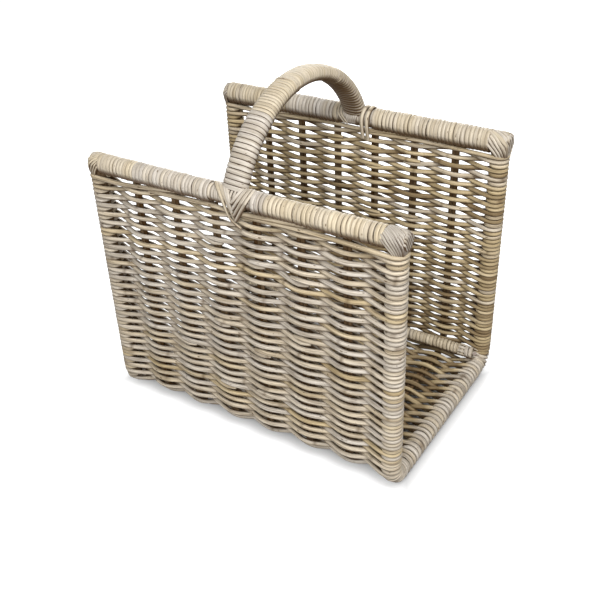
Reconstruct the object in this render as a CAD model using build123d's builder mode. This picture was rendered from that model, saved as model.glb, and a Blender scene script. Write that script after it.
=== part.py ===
from build123d import *
import math
import os

os.makedirs("parts", exist_ok=True)

# Body of the rack: a woven U, open at both ends, in millimetres
stake_pairs = 6
stake_pitch = 53.5
panel_spread = 258.0
rail_height = 316.5
rail_overhang = 12.75
bend_radius = 22.0
handle_rise = 86.5

# Rod and strand thicknesses
hoop_diameter = 14.0
stake_diameter = 4.8
strand_diameter = 4.9
peel_diameter = 4.2
front_rail_core = 14.6
back_rail_core = 18.6
bottom_rail_core = 7.2
handle_pole_diameter = 10.2

# Gaps between neighbours
fit_gap = 0.2
seat_gap = 0.3
row_gap = 0.3
floor_row_gap = 2.2
turn_gap = 1.0
pole_gap = 0.2
foot_flat = 0.5

# Weave
strand_tail = 6.0
bend_rows = 6
hooked_bend_rows = (1, 4)

# Lashings
corner_straps = 5
corner_strap_shift = -7.0
corner_strap_tilt = 20.0
handle_straps = 3
handle_strap_tilt = 25.0
lashing_turns = 2
rail_windings_per_side = 2
bottom_rail_windings = 3
handle_windings = 4
handle_wrap_start = 17.0
bottom_rail_overhang = 11.0

# Nails
nail_diameter = 2.2
nail_head_diameter = 4.2
nail_head_thickness = 1.0
nail_recess = 1.9
nail_gap = 0.1
corner_nail_grip = 18.0
handle_nail_grip = 12.0
bottom_nail_grip = 9.0

# Places worked out from the sizes above
half_spread = panel_spread / 2
stake_places = [(index - (stake_pairs - 1) / 2) * stake_pitch for index in range(stake_pairs)]
hoop_x = stake_places[-1] + stake_pitch
rail_end = hoop_x + rail_overhang
strand_wave = (stake_diameter + strand_diameter) / 2 + fit_gap
hook_radius = (hoop_diameter + strand_diameter) / 2 + fit_gap
hook_reach = hook_radius + strand_diameter / 2
hoop_height = hook_reach - foot_flat
bend_height = hoop_height + bend_radius
floor_half = half_spread - bend_radius
row_pitch = strand_diameter + row_gap
turn_pitch = peel_diameter + turn_gap
peel_reach = fit_gap + peel_diameter
thick_rail_radius = max(front_rail_core, back_rail_core) / 2 + peel_reach
top_row_limit = rail_height - thick_rail_radius - seat_gap - strand_diameter / 2
panel_rows = int((top_row_limit - bend_height) / row_pitch)
floor_rows = int(2 * floor_half / (strand_diameter + floor_row_gap))
top_row_height = bend_height + row_pitch * (panel_rows - 0.5)
lashing_foot = top_row_height + strand_diameter / 2 + seat_gap
rail_cores = {"front": front_rail_core, "back": back_rail_core}
rail_sides = {"front": -half_spread, "back": half_spread}


def u_path(x, front_top, back_top):
    """The bent line that a hoop or a stake follows, in the plane at x."""
    with BuildLine(Plane.YZ.offset(x)) as path:
        FilletPolyline(
            (-half_spread, front_top),
            (-half_spread, hoop_height),
            (half_spread, hoop_height),
            (half_spread, back_top),
            radius=bend_radius,
        )
    return path.line


def tube(path, diameter):
    """A round rod along a path."""
    with BuildPart() as rod:
        with BuildSketch(Plane(origin=path @ 0, z_dir=path % 0)):
            Circle(diameter / 2)
        sweep(path=path)
    return rod.part


def rail_bore(side, gap):
    """The room that a top rail's core takes, with a gap all round."""
    with BuildPart() as bore:
        with BuildSketch(Plane.YZ.offset(-rail_end)):
            with Locations((rail_sides[side], rail_height)):
                Circle(rail_cores[side] / 2 + gap)
        extrude(amount=2 * rail_end)
    return bore.part


def nail(seat, grip):
    """A nail whose head stands on the seat plane and whose shank goes the plane's way."""
    with BuildPart() as pin:
        with BuildSketch(seat):
            Circle(nail_diameter / 2)
        extrude(amount=grip)
        with BuildSketch(seat):
            Circle(nail_head_diameter / 2)
        extrude(amount=-nail_head_thickness)
    return pin.part


def nail_hole(seat, grip, rise):
    """The hole for a nail, with a counterbore that rises from the seat to the surface."""
    with BuildPart() as hole:
        with BuildSketch(seat):
            Circle(nail_diameter / 2 + nail_gap)
        extrude(amount=grip + nail_gap)
        with BuildSketch(seat):
            Circle(nail_head_diameter / 2 + nail_gap)
        extrude(amount=-rise)
    return hole.part


# Nail seats: corners, handle feet and bottom rails
handle_radius = (half_spread**2 + handle_rise**2) / (2 * handle_rise)
handle_centre = rail_height + handle_rise - handle_radius
handle_lean = math.asin((rail_height - handle_centre) / handle_radius)
pole_offset = (handle_pole_diameter + pole_gap) / 2
bottom_rail_reach = bottom_rail_core / 2 + peel_reach
bottom_rail_drop = bend_radius - hook_reach - seat_gap - bottom_rail_reach
diagonal = math.sqrt(0.5)
bottom_rail_y = floor_half + bottom_rail_drop * diagonal
bottom_rail_z = bend_height - bottom_rail_drop * diagonal
bottom_head_seat = bottom_rail_core / 2 - nail_recess


def corner_seat(x, side):
    """Nail seat in the top of a top rail, over a post."""
    head = rail_cores[side] / 2 - nail_recess
    return Plane(origin=(x, rail_sides[side], rail_height + head), z_dir=(0, 0, -1))


def handle_seat(x, side):
    """Nail seat under a top rail, pointing up along the handle."""
    outward = math.copysign(1, rail_sides[side])
    head = rail_cores[side] / 2 - nail_recess
    way = Vector(0, -outward * math.sin(handle_lean), math.cos(handle_lean))
    return Plane(origin=Vector(x, rail_sides[side], rail_height) - way * head, z_dir=way)


def bottom_seat(x, side):
    """Nail seat in a bottom rail, pointing out into the bend of a hoop."""
    outward = math.copysign(1, rail_sides[side])
    way = Vector(0, outward * diagonal, -diagonal)
    axis_point = Vector(x, outward * bottom_rail_y, bottom_rail_z)
    return Plane(origin=axis_point - way * bottom_head_seat, z_dir=way)


corner_grip = {side: rail_cores[side] - nail_recess + corner_nail_grip for side in rail_cores}
handle_grip = {side: rail_cores[side] - nail_recess + handle_nail_grip for side in rail_cores}
bottom_grip = bottom_rail_core - nail_recess + bottom_nail_grip

# End hoops: bent poles whose post tops are coped to the rails
for name, x in {"left_end_hoop": -hoop_x, "right_end_hoop": hoop_x}.items():
    with BuildPart() as hoop:
        add(tube(u_path(x, rail_height, rail_height), hoop_diameter))
        for side in rail_sides:
            add(rail_bore(side, fit_gap), mode=Mode.SUBTRACT)
            add(nail_hole(corner_seat(x, side), corner_grip[side], nail_recess), mode=Mode.SUBTRACT)
            add(nail_hole(bottom_seat(x, side), bottom_grip, nail_recess), mode=Mode.SUBTRACT)
    hoop.part.label = name
    export_step(hoop.part, f"parts/{name}.step")

# Stakes: pairs of thin rods side by side
stake_tops = {
    side: rail_height - rail_cores[side] / 2 - peel_reach - seat_gap for side in rail_sides
}
for index, x in enumerate(stake_places):
    with BuildPart() as stakes:
        for shift in (-0.5, 0.5):
            place = x + shift * (stake_diameter + pole_gap)
            add(tube(u_path(place, stake_tops["front"], stake_tops["back"]), stake_diameter))
    stakes.part.label = f"stake_pair_{index + 1}"
    export_step(stakes.part, f"parts/stake_pair_{index + 1}.step")

# Top rails: round poles with holes for the corner and handle nails
for side in rail_sides:
    with BuildPart() as top_rail:
        add(rail_bore(side, 0))
        for x in (-hoop_x, hoop_x):
            add(nail_hole(corner_seat(x, side), corner_grip[side], nail_recess), mode=Mode.SUBTRACT)
        for x in (-pole_offset, pole_offset):
            add(nail_hole(handle_seat(x, side), handle_grip[side], nail_recess), mode=Mode.SUBTRACT)
    top_rail.part.label = f"{side}_top_rail"
    export_step(top_rail.part, f"parts/{side}_top_rail.step")

# Bottom rails: thin poles that lie in the bends, across both hoops
for side in rail_sides:
    outward = math.copysign(1, rail_sides[side])
    bottom_rail_half = hoop_x + bottom_rail_overhang
    with BuildPart() as bottom_rail:
        with BuildSketch(Plane.YZ.offset(-bottom_rail_half)):
            with Locations((outward * bottom_rail_y, bottom_rail_z)):
                Circle(bottom_rail_core / 2)
        extrude(amount=2 * bottom_rail_half)
        for x in (-hoop_x, hoop_x):
            add(nail_hole(bottom_seat(x, side), bottom_grip, nail_recess), mode=Mode.SUBTRACT)
    bottom_rail.part.label = f"{side}_bottom_rail"
    export_step(bottom_rail.part, f"parts/{side}_bottom_rail.step")

# Handle: two poles side by side on one arc, coped to the top rails
for name, x in {"left_handle_pole": -pole_offset, "right_handle_pole": pole_offset}.items():
    with BuildLine(Plane.YZ.offset(x)) as arch:
        ThreePointArc(
            (-half_spread, rail_height),
            (0, rail_height + handle_rise),
            (half_spread, rail_height),
        )
    with BuildPart() as handle_pole:
        add(tube(arch.line, handle_pole_diameter))
        for side in rail_sides:
            add(rail_bore(side, fit_gap), mode=Mode.SUBTRACT)
            add(nail_hole(handle_seat(x, side), handle_grip[side], nail_recess), mode=Mode.SUBTRACT)
    handle_pole.part.label = name
    export_step(handle_pole.part, f"parts/{name}.step")

# Nails: one group of four for each kind of joint
with BuildPart() as corner_nails:
    for side in rail_sides:
        for x in (-hoop_x, hoop_x):
            add(nail(corner_seat(x, side), corner_grip[side]))
corner_nails.part.label = "corner_nails"
export_step(corner_nails.part, "parts/corner_nails.step")

with BuildPart() as handle_nails:
    for side in rail_sides:
        for x in (-pole_offset, pole_offset):
            add(nail(handle_seat(x, side), handle_grip[side]))
handle_nails.part.label = "handle_nails"
export_step(handle_nails.part, "parts/handle_nails.step")

with BuildPart() as bottom_rail_nails:
    for side in rail_sides:
        for x in (-hoop_x, hoop_x):
            add(nail(bottom_seat(x, side), bottom_grip))
bottom_rail_nails.part.label = "bottom_rail_nails"
export_step(bottom_rail_nails.part, "parts/bottom_rail_nails.step")


def s_bend(start, end):
    """Two equal arcs from start to end, level at both ends."""
    middle = ((start[0] + end[0]) / 2, (start[1] + end[1]) / 2)
    rise = TangentArc(start, middle, tangent=(1, 0))
    TangentArc(middle, end, tangent=rise % 1)


# One weave row: it passes the stakes on alternate sides and hooks round both posts
wave_points = [(x, strand_wave * (-1) ** index) for index, x in enumerate(stake_places)]
left_side = -math.copysign(hook_radius, wave_points[0][1])
right_side = -math.copysign(hook_radius, wave_points[-1][1])
with BuildLine() as row_path:
    Line((strand_tail - hoop_x, -left_side), (-hoop_x, -left_side))
    ThreePointArc((-hoop_x, -left_side), (-hoop_x - hook_radius, 0), (-hoop_x, left_side))
    s_bend((-hoop_x, left_side), wave_points[0])
    for start, end in zip(wave_points, wave_points[1:]):
        s_bend(start, end)
    s_bend(wave_points[-1], (hoop_x, right_side))
    ThreePointArc((hoop_x, right_side), (hoop_x + hook_radius, 0), (hoop_x, -right_side))
    Line((hoop_x, -right_side), (hoop_x - strand_tail, -right_side))
row = tube(row_path.line, strand_diameter)

# A short row for the bends, which stops beside the last stakes
with BuildLine() as short_path:
    Line((wave_points[0][0] - stake_pitch / 4, wave_points[0][1]), wave_points[0])
    for start, end in zip(wave_points, wave_points[1:]):
        s_bend(start, end)
    Line(wave_points[-1], (wave_points[-1][0] + stake_pitch / 4, wave_points[-1][1]))
short_row = tube(short_path.line, strand_diameter)

# Floor rows are cut flat where the rack stands on them, on either side of the row
with BuildPart() as floor_row:
    add(row)
    split(bisect_by=Plane.XZ.offset(foot_flat - hook_reach), keep=Keep.TOP)
with BuildPart() as turned_floor_row:
    add(row)
    split(bisect_by=Plane.XZ.offset(hook_reach - foot_flat), keep=Keep.BOTTOM)


def row_place(y, z, run_y, run_z, turned):
    """Where a row lies: its profile point, the way the profile runs and which face it starts on."""
    way = -1 if turned else 1
    return Plane(origin=(0, y, z), x_dir=(1, 0, 0), z_dir=(0, way * run_y, way * run_z)).location


panel_heights = [bend_height + row_pitch * (index + 0.5) for index in range(panel_rows)]
floor_pitch = 2 * floor_half / floor_rows
floor_places = [-floor_half + floor_pitch * (index + 0.5) for index in range(floor_rows)]
bend_angles = [math.pi / 2 * (index + 0.5) / bend_rows for index in range(bend_rows)]

front_rows = []
floor_parts = []
back_rows = []
count = 0
for height in reversed(panel_heights):
    front_rows.append(row.moved(row_place(-half_spread, height, 0, -1, count % 2)))
    count += 1
for index, angle in enumerate(bend_angles):
    y = -floor_half - bend_radius * math.cos(angle)
    z = bend_height - bend_radius * math.sin(angle)
    shape = row if index in hooked_bend_rows else short_row
    floor_parts.append(shape.moved(row_place(y, z, math.sin(angle), -math.cos(angle), count % 2)))
    count += 1
for y in floor_places:
    shape = turned_floor_row.part if count % 2 else floor_row.part
    floor_parts.append(shape.moved(row_place(y, hoop_height, 1, 0, count % 2)))
    count += 1
for index, angle in enumerate(bend_angles):
    y = floor_half + bend_radius * math.sin(angle)
    z = bend_height - bend_radius * math.cos(angle)
    shape = row if index in hooked_bend_rows else short_row
    floor_parts.append(shape.moved(row_place(y, z, math.cos(angle), math.sin(angle), count % 2)))
    count += 1
for height in panel_heights:
    back_rows.append(row.moved(row_place(half_spread, height, 0, 1, count % 2)))
    count += 1

for name, rows in {
    "front_panel_weave": front_rows,
    "floor_weave": floor_parts,
    "back_panel_weave": back_rows,
}.items():
    weave = Compound(label=name, children=rows)
    export_step(weave, f"parts/{name}.step")


def winding(crossings, cross, half_width):
    """A strand wound round a core: half turns between crossings, level across half_width."""
    with BuildLine() as path:
        side = 1
        Line(crossings[0] + cross * (half_width - peel_diameter), crossings[0] + cross * half_width)
        for start, end in zip(crossings, crossings[1:]):
            shift = cross * (side * half_width)
            bulge = cross * (side * (end - start).length / 2)
            ThreePointArc(start + shift, (start + end) / 2 + shift + bulge, end + shift)
            side = -side
            if half_width and end is not crossings[-1]:
                Line(end - cross * (side * half_width), end + cross * (side * half_width))
        last = crossings[-1] - cross * (side * half_width)
        Line(last, last + cross * (side * peel_diameter))
    return path.line


def least_gap(path, turns):
    """Least gap between neighbouring turns, measured on points along the path."""
    steps = turns * 24
    whole = Wire(path.edges())
    points = [whole.position_at(index / steps) for index in range(steps + 1)]
    apart = [
        (points[first] - points[second]).length
        for first in range(steps + 1)
        for second in range(first + 14, min(first + 40, steps + 1))
    ]
    return min(apart) - peel_diameter


def straight_winding(core, turns, pitch):
    """A winding along X, from x = 0, round a core on the X axis."""
    reach = core / 2 + fit_gap + peel_diameter / 2
    crossings = [
        Vector(index * pitch / 2, 0, reach * (-1) ** (index + 1)) for index in range(2 * turns + 1)
    ]
    return winding(crossings, Vector(0, 1, 0), 0)


# Top rail windings, between the corner lashings and the handle lashing
handle_zone = 2 * pole_offset + handle_straps * turn_pitch + thick_rail_radius / 2
corner_zone = corner_straps * turn_pitch / 2 - corner_strap_shift + thick_rail_radius / 2
wound_length = hoop_x - corner_zone - handle_zone
winding_step = wound_length / rail_windings_per_side
rail_turns = int((winding_step - turn_pitch) / turn_pitch)
rail_pitch = (winding_step - turn_pitch) / rail_turns
for side in rail_sides:
    path = straight_winding(rail_cores[side], rail_turns, rail_pitch)
    print(side, "top rail winding, turns", rail_turns, "least gap", round(least_gap(path, rail_turns), 2))
    rail_winding = tube(path, peel_diameter)
    starts = [handle_zone + winding_step * index for index in range(rail_windings_per_side)]
    starts += [-start - rail_turns * rail_pitch for start in starts]
    for index, start in enumerate(sorted(starts)):
        name = f"{side}_top_rail_winding_{index + 1}"
        placed = rail_winding.moved(Location((start, rail_sides[side], rail_height)))
        placed.label = name
        export_step(placed, f"parts/{name}.step")

# Bottom rail windings between the hoops, and their lashings across the hoops
bottom_zone = 2 * (hoop_x - hook_reach - seat_gap)
bottom_step = bottom_zone / bottom_rail_windings
bottom_turns = int((bottom_step - turn_pitch) / turn_pitch)
bottom_pitch = (bottom_step - turn_pitch) / bottom_turns
bottom_path = straight_winding(bottom_rail_core, bottom_turns, bottom_pitch)
print("bottom rail winding, turns", bottom_turns, "least gap", round(least_gap(bottom_path, bottom_turns), 2))
bottom_winding = tube(bottom_path, peel_diameter)
lashing_pitch = peel_diameter + nail_diameter + 2 * seat_gap
lashing_path = straight_winding(bottom_rail_core, lashing_turns, lashing_pitch)
print("bottom rail lashing, least gap", round(least_gap(lashing_path, lashing_turns), 2))
lashing = tube(lashing_path, peel_diameter)
for side in rail_sides:
    outward = math.copysign(1, rail_sides[side])
    turned = Location((0, 0, 0), (outward * 135, 0, 0))
    axis_place = Location((0, outward * bottom_rail_y, bottom_rail_z))
    for index in range(bottom_rail_windings):
        name = f"{side}_bottom_rail_winding_{index + 1}"
        start = -bottom_zone / 2 + bottom_step * index + turn_pitch / 2
        placed = bottom_winding.moved(axis_place * Location((start, 0, 0)))
        placed.label = name
        export_step(placed, f"parts/{name}.step")
    for end, x in {"left": -hoop_x, "right": hoop_x}.items():
        name = f"{side}_{end}_bottom_rail_lashing"
        start = x - lashing_turns * lashing_pitch / 2
        placed = lashing.moved(axis_place * Location((start, 0, 0)) * turned)
        placed.label = name
        export_step(placed, f"parts/{name}.step")

# Handle windings: flat loops round both poles, along the arch
pole_reach = handle_pole_diameter / 2 + fit_gap + peel_diameter / 2
half_sweep = math.pi / 2 - handle_lean - handle_wrap_start / handle_radius
handle_step = 2 * half_sweep / handle_windings
least_angle = turn_pitch / handle_radius
handle_turns = int((handle_step - least_angle) / least_angle)
turn_angle = (handle_step - least_angle) / handle_turns
for index in range(handle_windings):
    first = -half_sweep + handle_step * index + least_angle / 2
    crossings = []
    for half_turn in range(2 * handle_turns + 1):
        angle = first + half_turn * turn_angle / 2
        reach = handle_radius + pole_reach * (-1) ** (half_turn + 1)
        crossings.append(Vector(0, reach * math.sin(angle), handle_centre + reach * math.cos(angle)))
    handle_path = winding(crossings, Vector(1, 0, 0), pole_offset)
    if index == 0:
        print("handle winding, turns", handle_turns, "least gap", round(least_gap(handle_path, handle_turns), 2))
    with BuildPart() as handle_winding:
        add(tube(handle_path, peel_diameter))
    handle_winding.part.label = f"handle_winding_{index + 1}"
    export_step(handle_winding.part, f"parts/handle_winding_{index + 1}.step")


def strap(x, side, tilt):
    """A lashing strand over a top rail, leaning along it by tilt, with two straight legs."""
    lean = math.radians(tilt)
    up = Vector(math.sin(lean), 0, math.cos(lean))
    across = Vector(0, 1, 0)
    place = Plane(origin=(x, rail_sides[side], rail_height), x_dir=across, z_dir=across.cross(up))
    reach = (rail_cores[side] / 2 + fit_gap + peel_diameter / 2) / math.cos(lean)
    leg = (rail_height - lashing_foot) / math.cos(lean) - peel_diameter / 2 * math.tan(abs(lean))
    with BuildLine(place) as path:
        Line((-reach, -leg), (-reach, 0))
        ThreePointArc((-reach, 0), (0, reach), (reach, 0))
        Line((reach, 0), (reach, -leg))
    return tube(path.line, peel_diameter)


# Corner lashings: slanted strands over each rail end and down its post
strap_pitch = turn_pitch / math.cos(math.radians(corner_strap_tilt))
for side in rail_sides:
    for end, way in {"left": -1, "right": 1}.items():
        with BuildPart() as corner_lashing:
            for index in range(corner_straps):
                shift = corner_strap_shift + (index - (corner_straps - 1) / 2) * strap_pitch
                add(strap(way * (hoop_x + shift), side, -way * corner_strap_tilt))
        corner_lashing.part.label = f"{side}_{end}_corner_lashing"
        export_step(corner_lashing.part, f"parts/{side}_{end}_corner_lashing.step")

# Handle lashings: strands on both sides of the handle that draw together below the rail
handle_strap_pitch = turn_pitch / math.cos(math.radians(handle_strap_tilt))
first_strap = 2 * pole_offset + peel_diameter / 2 + 2 * fit_gap + seat_gap
for side in rail_sides:
    with BuildPart() as handle_lashing:
        for way in (-1, 1):
            for index in range(handle_straps):
                x = way * (first_strap + index * handle_strap_pitch)
                add(strap(x, side, way * handle_strap_tilt))
    handle_lashing.part.label = f"{side}_handle_lashing"
    export_step(handle_lashing.part, f"parts/{side}_handle_lashing.step")
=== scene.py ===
import math
import random
from collections import namedtuple

import bpy
from mathutils import Matrix, Vector, noise


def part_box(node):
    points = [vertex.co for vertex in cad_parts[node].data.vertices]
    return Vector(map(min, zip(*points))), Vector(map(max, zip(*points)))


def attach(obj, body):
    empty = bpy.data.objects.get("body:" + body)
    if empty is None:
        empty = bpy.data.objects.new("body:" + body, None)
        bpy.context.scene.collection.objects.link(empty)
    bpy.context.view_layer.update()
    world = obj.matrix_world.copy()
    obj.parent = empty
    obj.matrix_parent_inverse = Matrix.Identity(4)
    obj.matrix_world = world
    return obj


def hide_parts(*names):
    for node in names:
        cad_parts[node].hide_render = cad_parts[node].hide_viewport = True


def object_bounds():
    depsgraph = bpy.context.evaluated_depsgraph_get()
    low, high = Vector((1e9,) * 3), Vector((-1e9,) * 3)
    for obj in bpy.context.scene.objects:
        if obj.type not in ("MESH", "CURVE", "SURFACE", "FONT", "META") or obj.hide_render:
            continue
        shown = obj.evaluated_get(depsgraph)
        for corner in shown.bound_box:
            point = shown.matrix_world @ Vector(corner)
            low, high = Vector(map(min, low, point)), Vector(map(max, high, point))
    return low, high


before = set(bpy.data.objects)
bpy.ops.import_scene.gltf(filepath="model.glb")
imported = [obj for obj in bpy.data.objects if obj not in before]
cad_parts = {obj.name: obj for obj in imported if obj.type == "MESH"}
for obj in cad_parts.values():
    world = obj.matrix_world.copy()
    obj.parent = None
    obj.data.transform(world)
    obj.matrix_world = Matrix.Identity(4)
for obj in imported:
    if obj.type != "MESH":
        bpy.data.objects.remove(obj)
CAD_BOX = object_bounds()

bl_info = {
    "name": "Woven Magazine Rack",
    "version": (1, 0, 0),
    "blender": (4, 5, 0),
    "location": "View3D > Sidebar > Rack",
    "description": "Dresses the packed rack with woven strands, peel wraps and lashings",
    "category": "Add Mesh",
}

# Sizes read from the frame, in metres
hoop_low, hoop_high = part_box("right_end_hoop")
HOOP_X = (hoop_low[0] + hoop_high[0]) / 2
HOOP_RADIUS = (hoop_high[0] - hoop_low[0]) / 2
HALF_SPREAD = (hoop_high[1] - hoop_low[1]) / 2 - HOOP_RADIUS
HOOP_HEIGHT = hoop_low[2] + HOOP_RADIUS
RAIL_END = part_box("front_top_rail")[1][0]
PANEL_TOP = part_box("front_panel_weave")[1][2]
STAKE_PAIRS = sorted(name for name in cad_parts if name.startswith("stake_pair_"))
STAKE_X = [(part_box(name)[0][0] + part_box(name)[1][0]) / 2 for name in STAKE_PAIRS]
STAKE_RADIUS = (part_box(STAKE_PAIRS[0])[1][0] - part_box(STAKE_PAIRS[0])[0][0]) / 4
HANDLE_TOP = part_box("left_handle_pole")[1][2]
POLE_RADIUS = (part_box("left_handle_pole")[1][0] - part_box("left_handle_pole")[0][0]) / 2


def rail_line(name):
    """Axis (y, z) and core radius of a rail, from its node's box."""
    low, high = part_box(name)
    return (low[1] + high[1]) / 2, (low[2] + high[2]) / 2, (high[2] - low[2]) / 2


FRONT_RAIL = rail_line("front_top_rail")
BACK_RAIL = rail_line("back_top_rail")
BOTTOM_RAILS = {side: rail_line(f"{side}_bottom_rail") for side in ("front", "back")}


class RackWeaveSettings(bpy.types.PropertyGroup):
    """Sizes of the woven strands."""

    strand_thickness: bpy.props.FloatProperty(
        name="Strand thickness", description="Thickness of a weaving strand", default=0.0059, unit="LENGTH"
    )
    row_pitch: bpy.props.FloatProperty(
        name="Row pitch", description="Distance between rows in the panels", default=0.0052, unit="LENGTH"
    )
    floor_rows: bpy.props.IntProperty(
        name="Floor rows", description="Number of rows across the floor", default=30
    )
    bend_rows: bpy.props.IntProperty(
        name="Bend rows", description="Number of rows round each bottom bend", default=6
    )
    bend_radius: bpy.props.FloatProperty(
        name="Bend radius", description="Radius of the bottom bends", default=0.022, unit="LENGTH"
    )
    settle: bpy.props.FloatProperty(
        name="Settle", description="How much closer the rows lie at the foot of a panel", default=0.07
    )
    stand_off: bpy.props.FloatProperty(
        name="Stand-off", description="Gap between a strand and its stakes", default=0.0006, unit="LENGTH"
    )
    dip: bpy.props.FloatProperty(
        name="Dip", description="How far a strand sinks for each unit it stands out", default=0.08
    )
    sway: bpy.props.FloatProperty(
        name="Sway", description="How far a row wanders from its level", default=0.0026, unit="LENGTH"
    )
    splice_share: bpy.props.FloatProperty(
        name="Splice share", description="Share of rows made of two lengths", default=0.3, subtype="FACTOR"
    )
    splice_reach: bpy.props.FloatProperty(
        name="Splice reach", description="How far an end runs past its stake", default=0.011, unit="LENGTH"
    )
    splice_ease: bpy.props.FloatProperty(
        name="Splice ease", description="Length over which spliced ends move apart",
        default=0.03, unit="LENGTH",
    )
    seed: bpy.props.IntProperty(name="Seed", description="Seed of the uneven strands", default=7)


class RackPeelSettings(bpy.types.PropertyGroup):
    """Sizes of the peel that wraps and lashes the rack."""

    wrap_width: bpy.props.FloatProperty(
        name="Wrap width", description="Width of the peel on the rails", default=0.0050, unit="LENGTH"
    )
    wrap_pitch: bpy.props.FloatProperty(
        name="Wrap pitch", description="Distance between turns on the rails", default=0.0049, unit="LENGTH"
    )
    wrap_thickness: bpy.props.FloatProperty(
        name="Wrap thickness", description="Thickness of the peel", default=0.0024, unit="LENGTH"
    )
    lash_width: bpy.props.FloatProperty(
        name="Lashing width", description="Width of a lashing strand", default=0.0031, unit="LENGTH"
    )
    lash_pitch: bpy.props.FloatProperty(
        name="Lashing pitch", description="Distance between corner strands", default=0.0041, unit="LENGTH"
    )
    corner_strands: bpy.props.IntProperty(
        name="Corner strands", description="Number of strands in a corner lashing", default=12
    )
    seed: bpy.props.IntProperty(name="Seed", description="Seed of the uneven turns", default=11)


class RackColourSettings(bpy.types.PropertyGroup):
    """Colours of the rattan."""

    strand_grey: bpy.props.FloatVectorProperty(
        name="Grey strand", description="Weathered strand", subtype="COLOR", default=(0.57, 0.52, 0.45)
    )
    strand_beige: bpy.props.FloatVectorProperty(
        name="Beige strand", description="Common strand", subtype="COLOR", default=(0.60, 0.52, 0.40)
    )
    strand_straw: bpy.props.FloatVectorProperty(
        name="Straw strand", description="Yellow strand", subtype="COLOR", default=(0.55, 0.44, 0.26)
    )
    # The darkest stop; the floor and the lower back panel lean to it as painted shade of the rack's inside
    strand_tan_and_shade: bpy.props.FloatVectorProperty(
        name="Tan strand", description="Aged strand", subtype="COLOR", default=(0.24, 0.172, 0.09)
    )
    # Besides fibre lines, stakes and bare poles, this brown is the painted shade on undersides, on the sides
    # towards the stakes and in the seams
    strand_brown: bpy.props.FloatVectorProperty(
        name="Fibre brown", description="Fibre lines, seams, undersides and bare poles", subtype="COLOR",
        default=(0.080, 0.039, 0.012),
    )
    peel_cream: bpy.props.FloatVectorProperty(
        name="Cream peel", description="Yellow cream wrap", subtype="COLOR", default=(0.66, 0.57, 0.415)
    )
    peel_pale: bpy.props.FloatVectorProperty(
        name="Pale peel", description="Grey white wrap", subtype="COLOR", default=(0.61, 0.565, 0.505)
    )
    stake_brown: bpy.props.FloatVectorProperty(
        name="Stake brown", description="Stakes and the grain of bare poles", subtype="COLOR",
        default=(0.19, 0.13, 0.075),
    )


class RackStageSettings(bpy.types.PropertyGroup):
    """Camera and light."""

    lens: bpy.props.FloatProperty(
        name="Lens", description="Focal length in millimetres on a 36 mm sensor", default=51.77
    )
    camera_place: bpy.props.FloatVectorProperty(
        name="Camera place", description="Where the camera stands", subtype="XYZ", unit="LENGTH",
        default=(0.4949, -0.7632, 0.7045),
    )
    azimuth: bpy.props.FloatProperty(
        name="Azimuth", description="Camera's turn to the right", default=math.radians(33.45), unit="ROTATION"
    )
    elevation: bpy.props.FloatProperty(
        name="Elevation", description="Camera's angle above the horizon",
        default=math.radians(32.8), unit="ROTATION",
    )
    roll: bpy.props.FloatProperty(
        name="Roll", description="Camera's lean", default=math.radians(-2.35), unit="ROTATION"
    )
    floor_colour: bpy.props.FloatVectorProperty(
        name="Floor colour", description="Pale floor", subtype="COLOR", default=(0.50, 0.50, 0.50)
    )
    key_power: bpy.props.FloatProperty(
        name="Key light", description="Power of the key light", default=18.8, unit="POWER"
    )
    front_power: bpy.props.FloatProperty(
        name="Front light", description="Power of the front light", default=19.2, unit="POWER"
    )
    back_power: bpy.props.FloatProperty(
        name="Back light", description="Power of the back light", default=21.0, unit="POWER"
    )
    fill_level: bpy.props.FloatProperty(
        name="Fill light", description="Strength of the surrounding light", default=0.06
    )


# Numbers
def limited(value):
    """The value, kept between 0 and 1."""
    return min(1.0, max(0.0, value))


def between(values, index, part):
    """The value part of the way from one entry of a list to the next."""
    return values[index] * (1 - part) + values[index + 1] * part


def uneven(chance, turns, mean, spread):
    """Uneven values for the turns of a winding, with one more for each of its ends."""
    return [chance.gauss(mean, spread) for _ in range(turns + 2)]


# Node helpers
def link(tree, source, target):
    """Joins two sockets."""
    tree.links.new(source, target)


def add_node(tree, kind, **settings):
    """A node of that kind with its properties set."""
    node = tree.nodes.new(kind)
    for name, value in settings.items():
        setattr(node, name, value)
    return node


def maths(tree, operation, first, second):
    """A math node; each operand is a socket or a number."""
    node = add_node(tree, "ShaderNodeMath", operation=operation)
    for socket, value in zip(node.inputs, (first, second)):
        if isinstance(value, bpy.types.NodeSocket):
            link(tree, value, socket)
        else:
            socket.default_value = value
    return node.outputs[0]


def named_value(tree, name, data_type):
    """The value of a named attribute inside a geometry tree."""
    node = add_node(tree, "GeometryNodeInputNamedAttribute", data_type=data_type)
    node.inputs["Name"].default_value = name
    return node.outputs["Attribute"]


# Inputs of the strand tree and their kinds
STRAND_INPUTS = {
    "Geometry": "NodeSocketGeometry",
    "Sides": "NodeSocketInt",
    "Flatness": "NodeSocketFloat",
    "Unevenness": "NodeSocketFloat",
    "Uneven Scale": "NodeSocketFloat",
    "Seed": "NodeSocketInt",
    "Finish": "NodeSocketMaterial",
}


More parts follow.
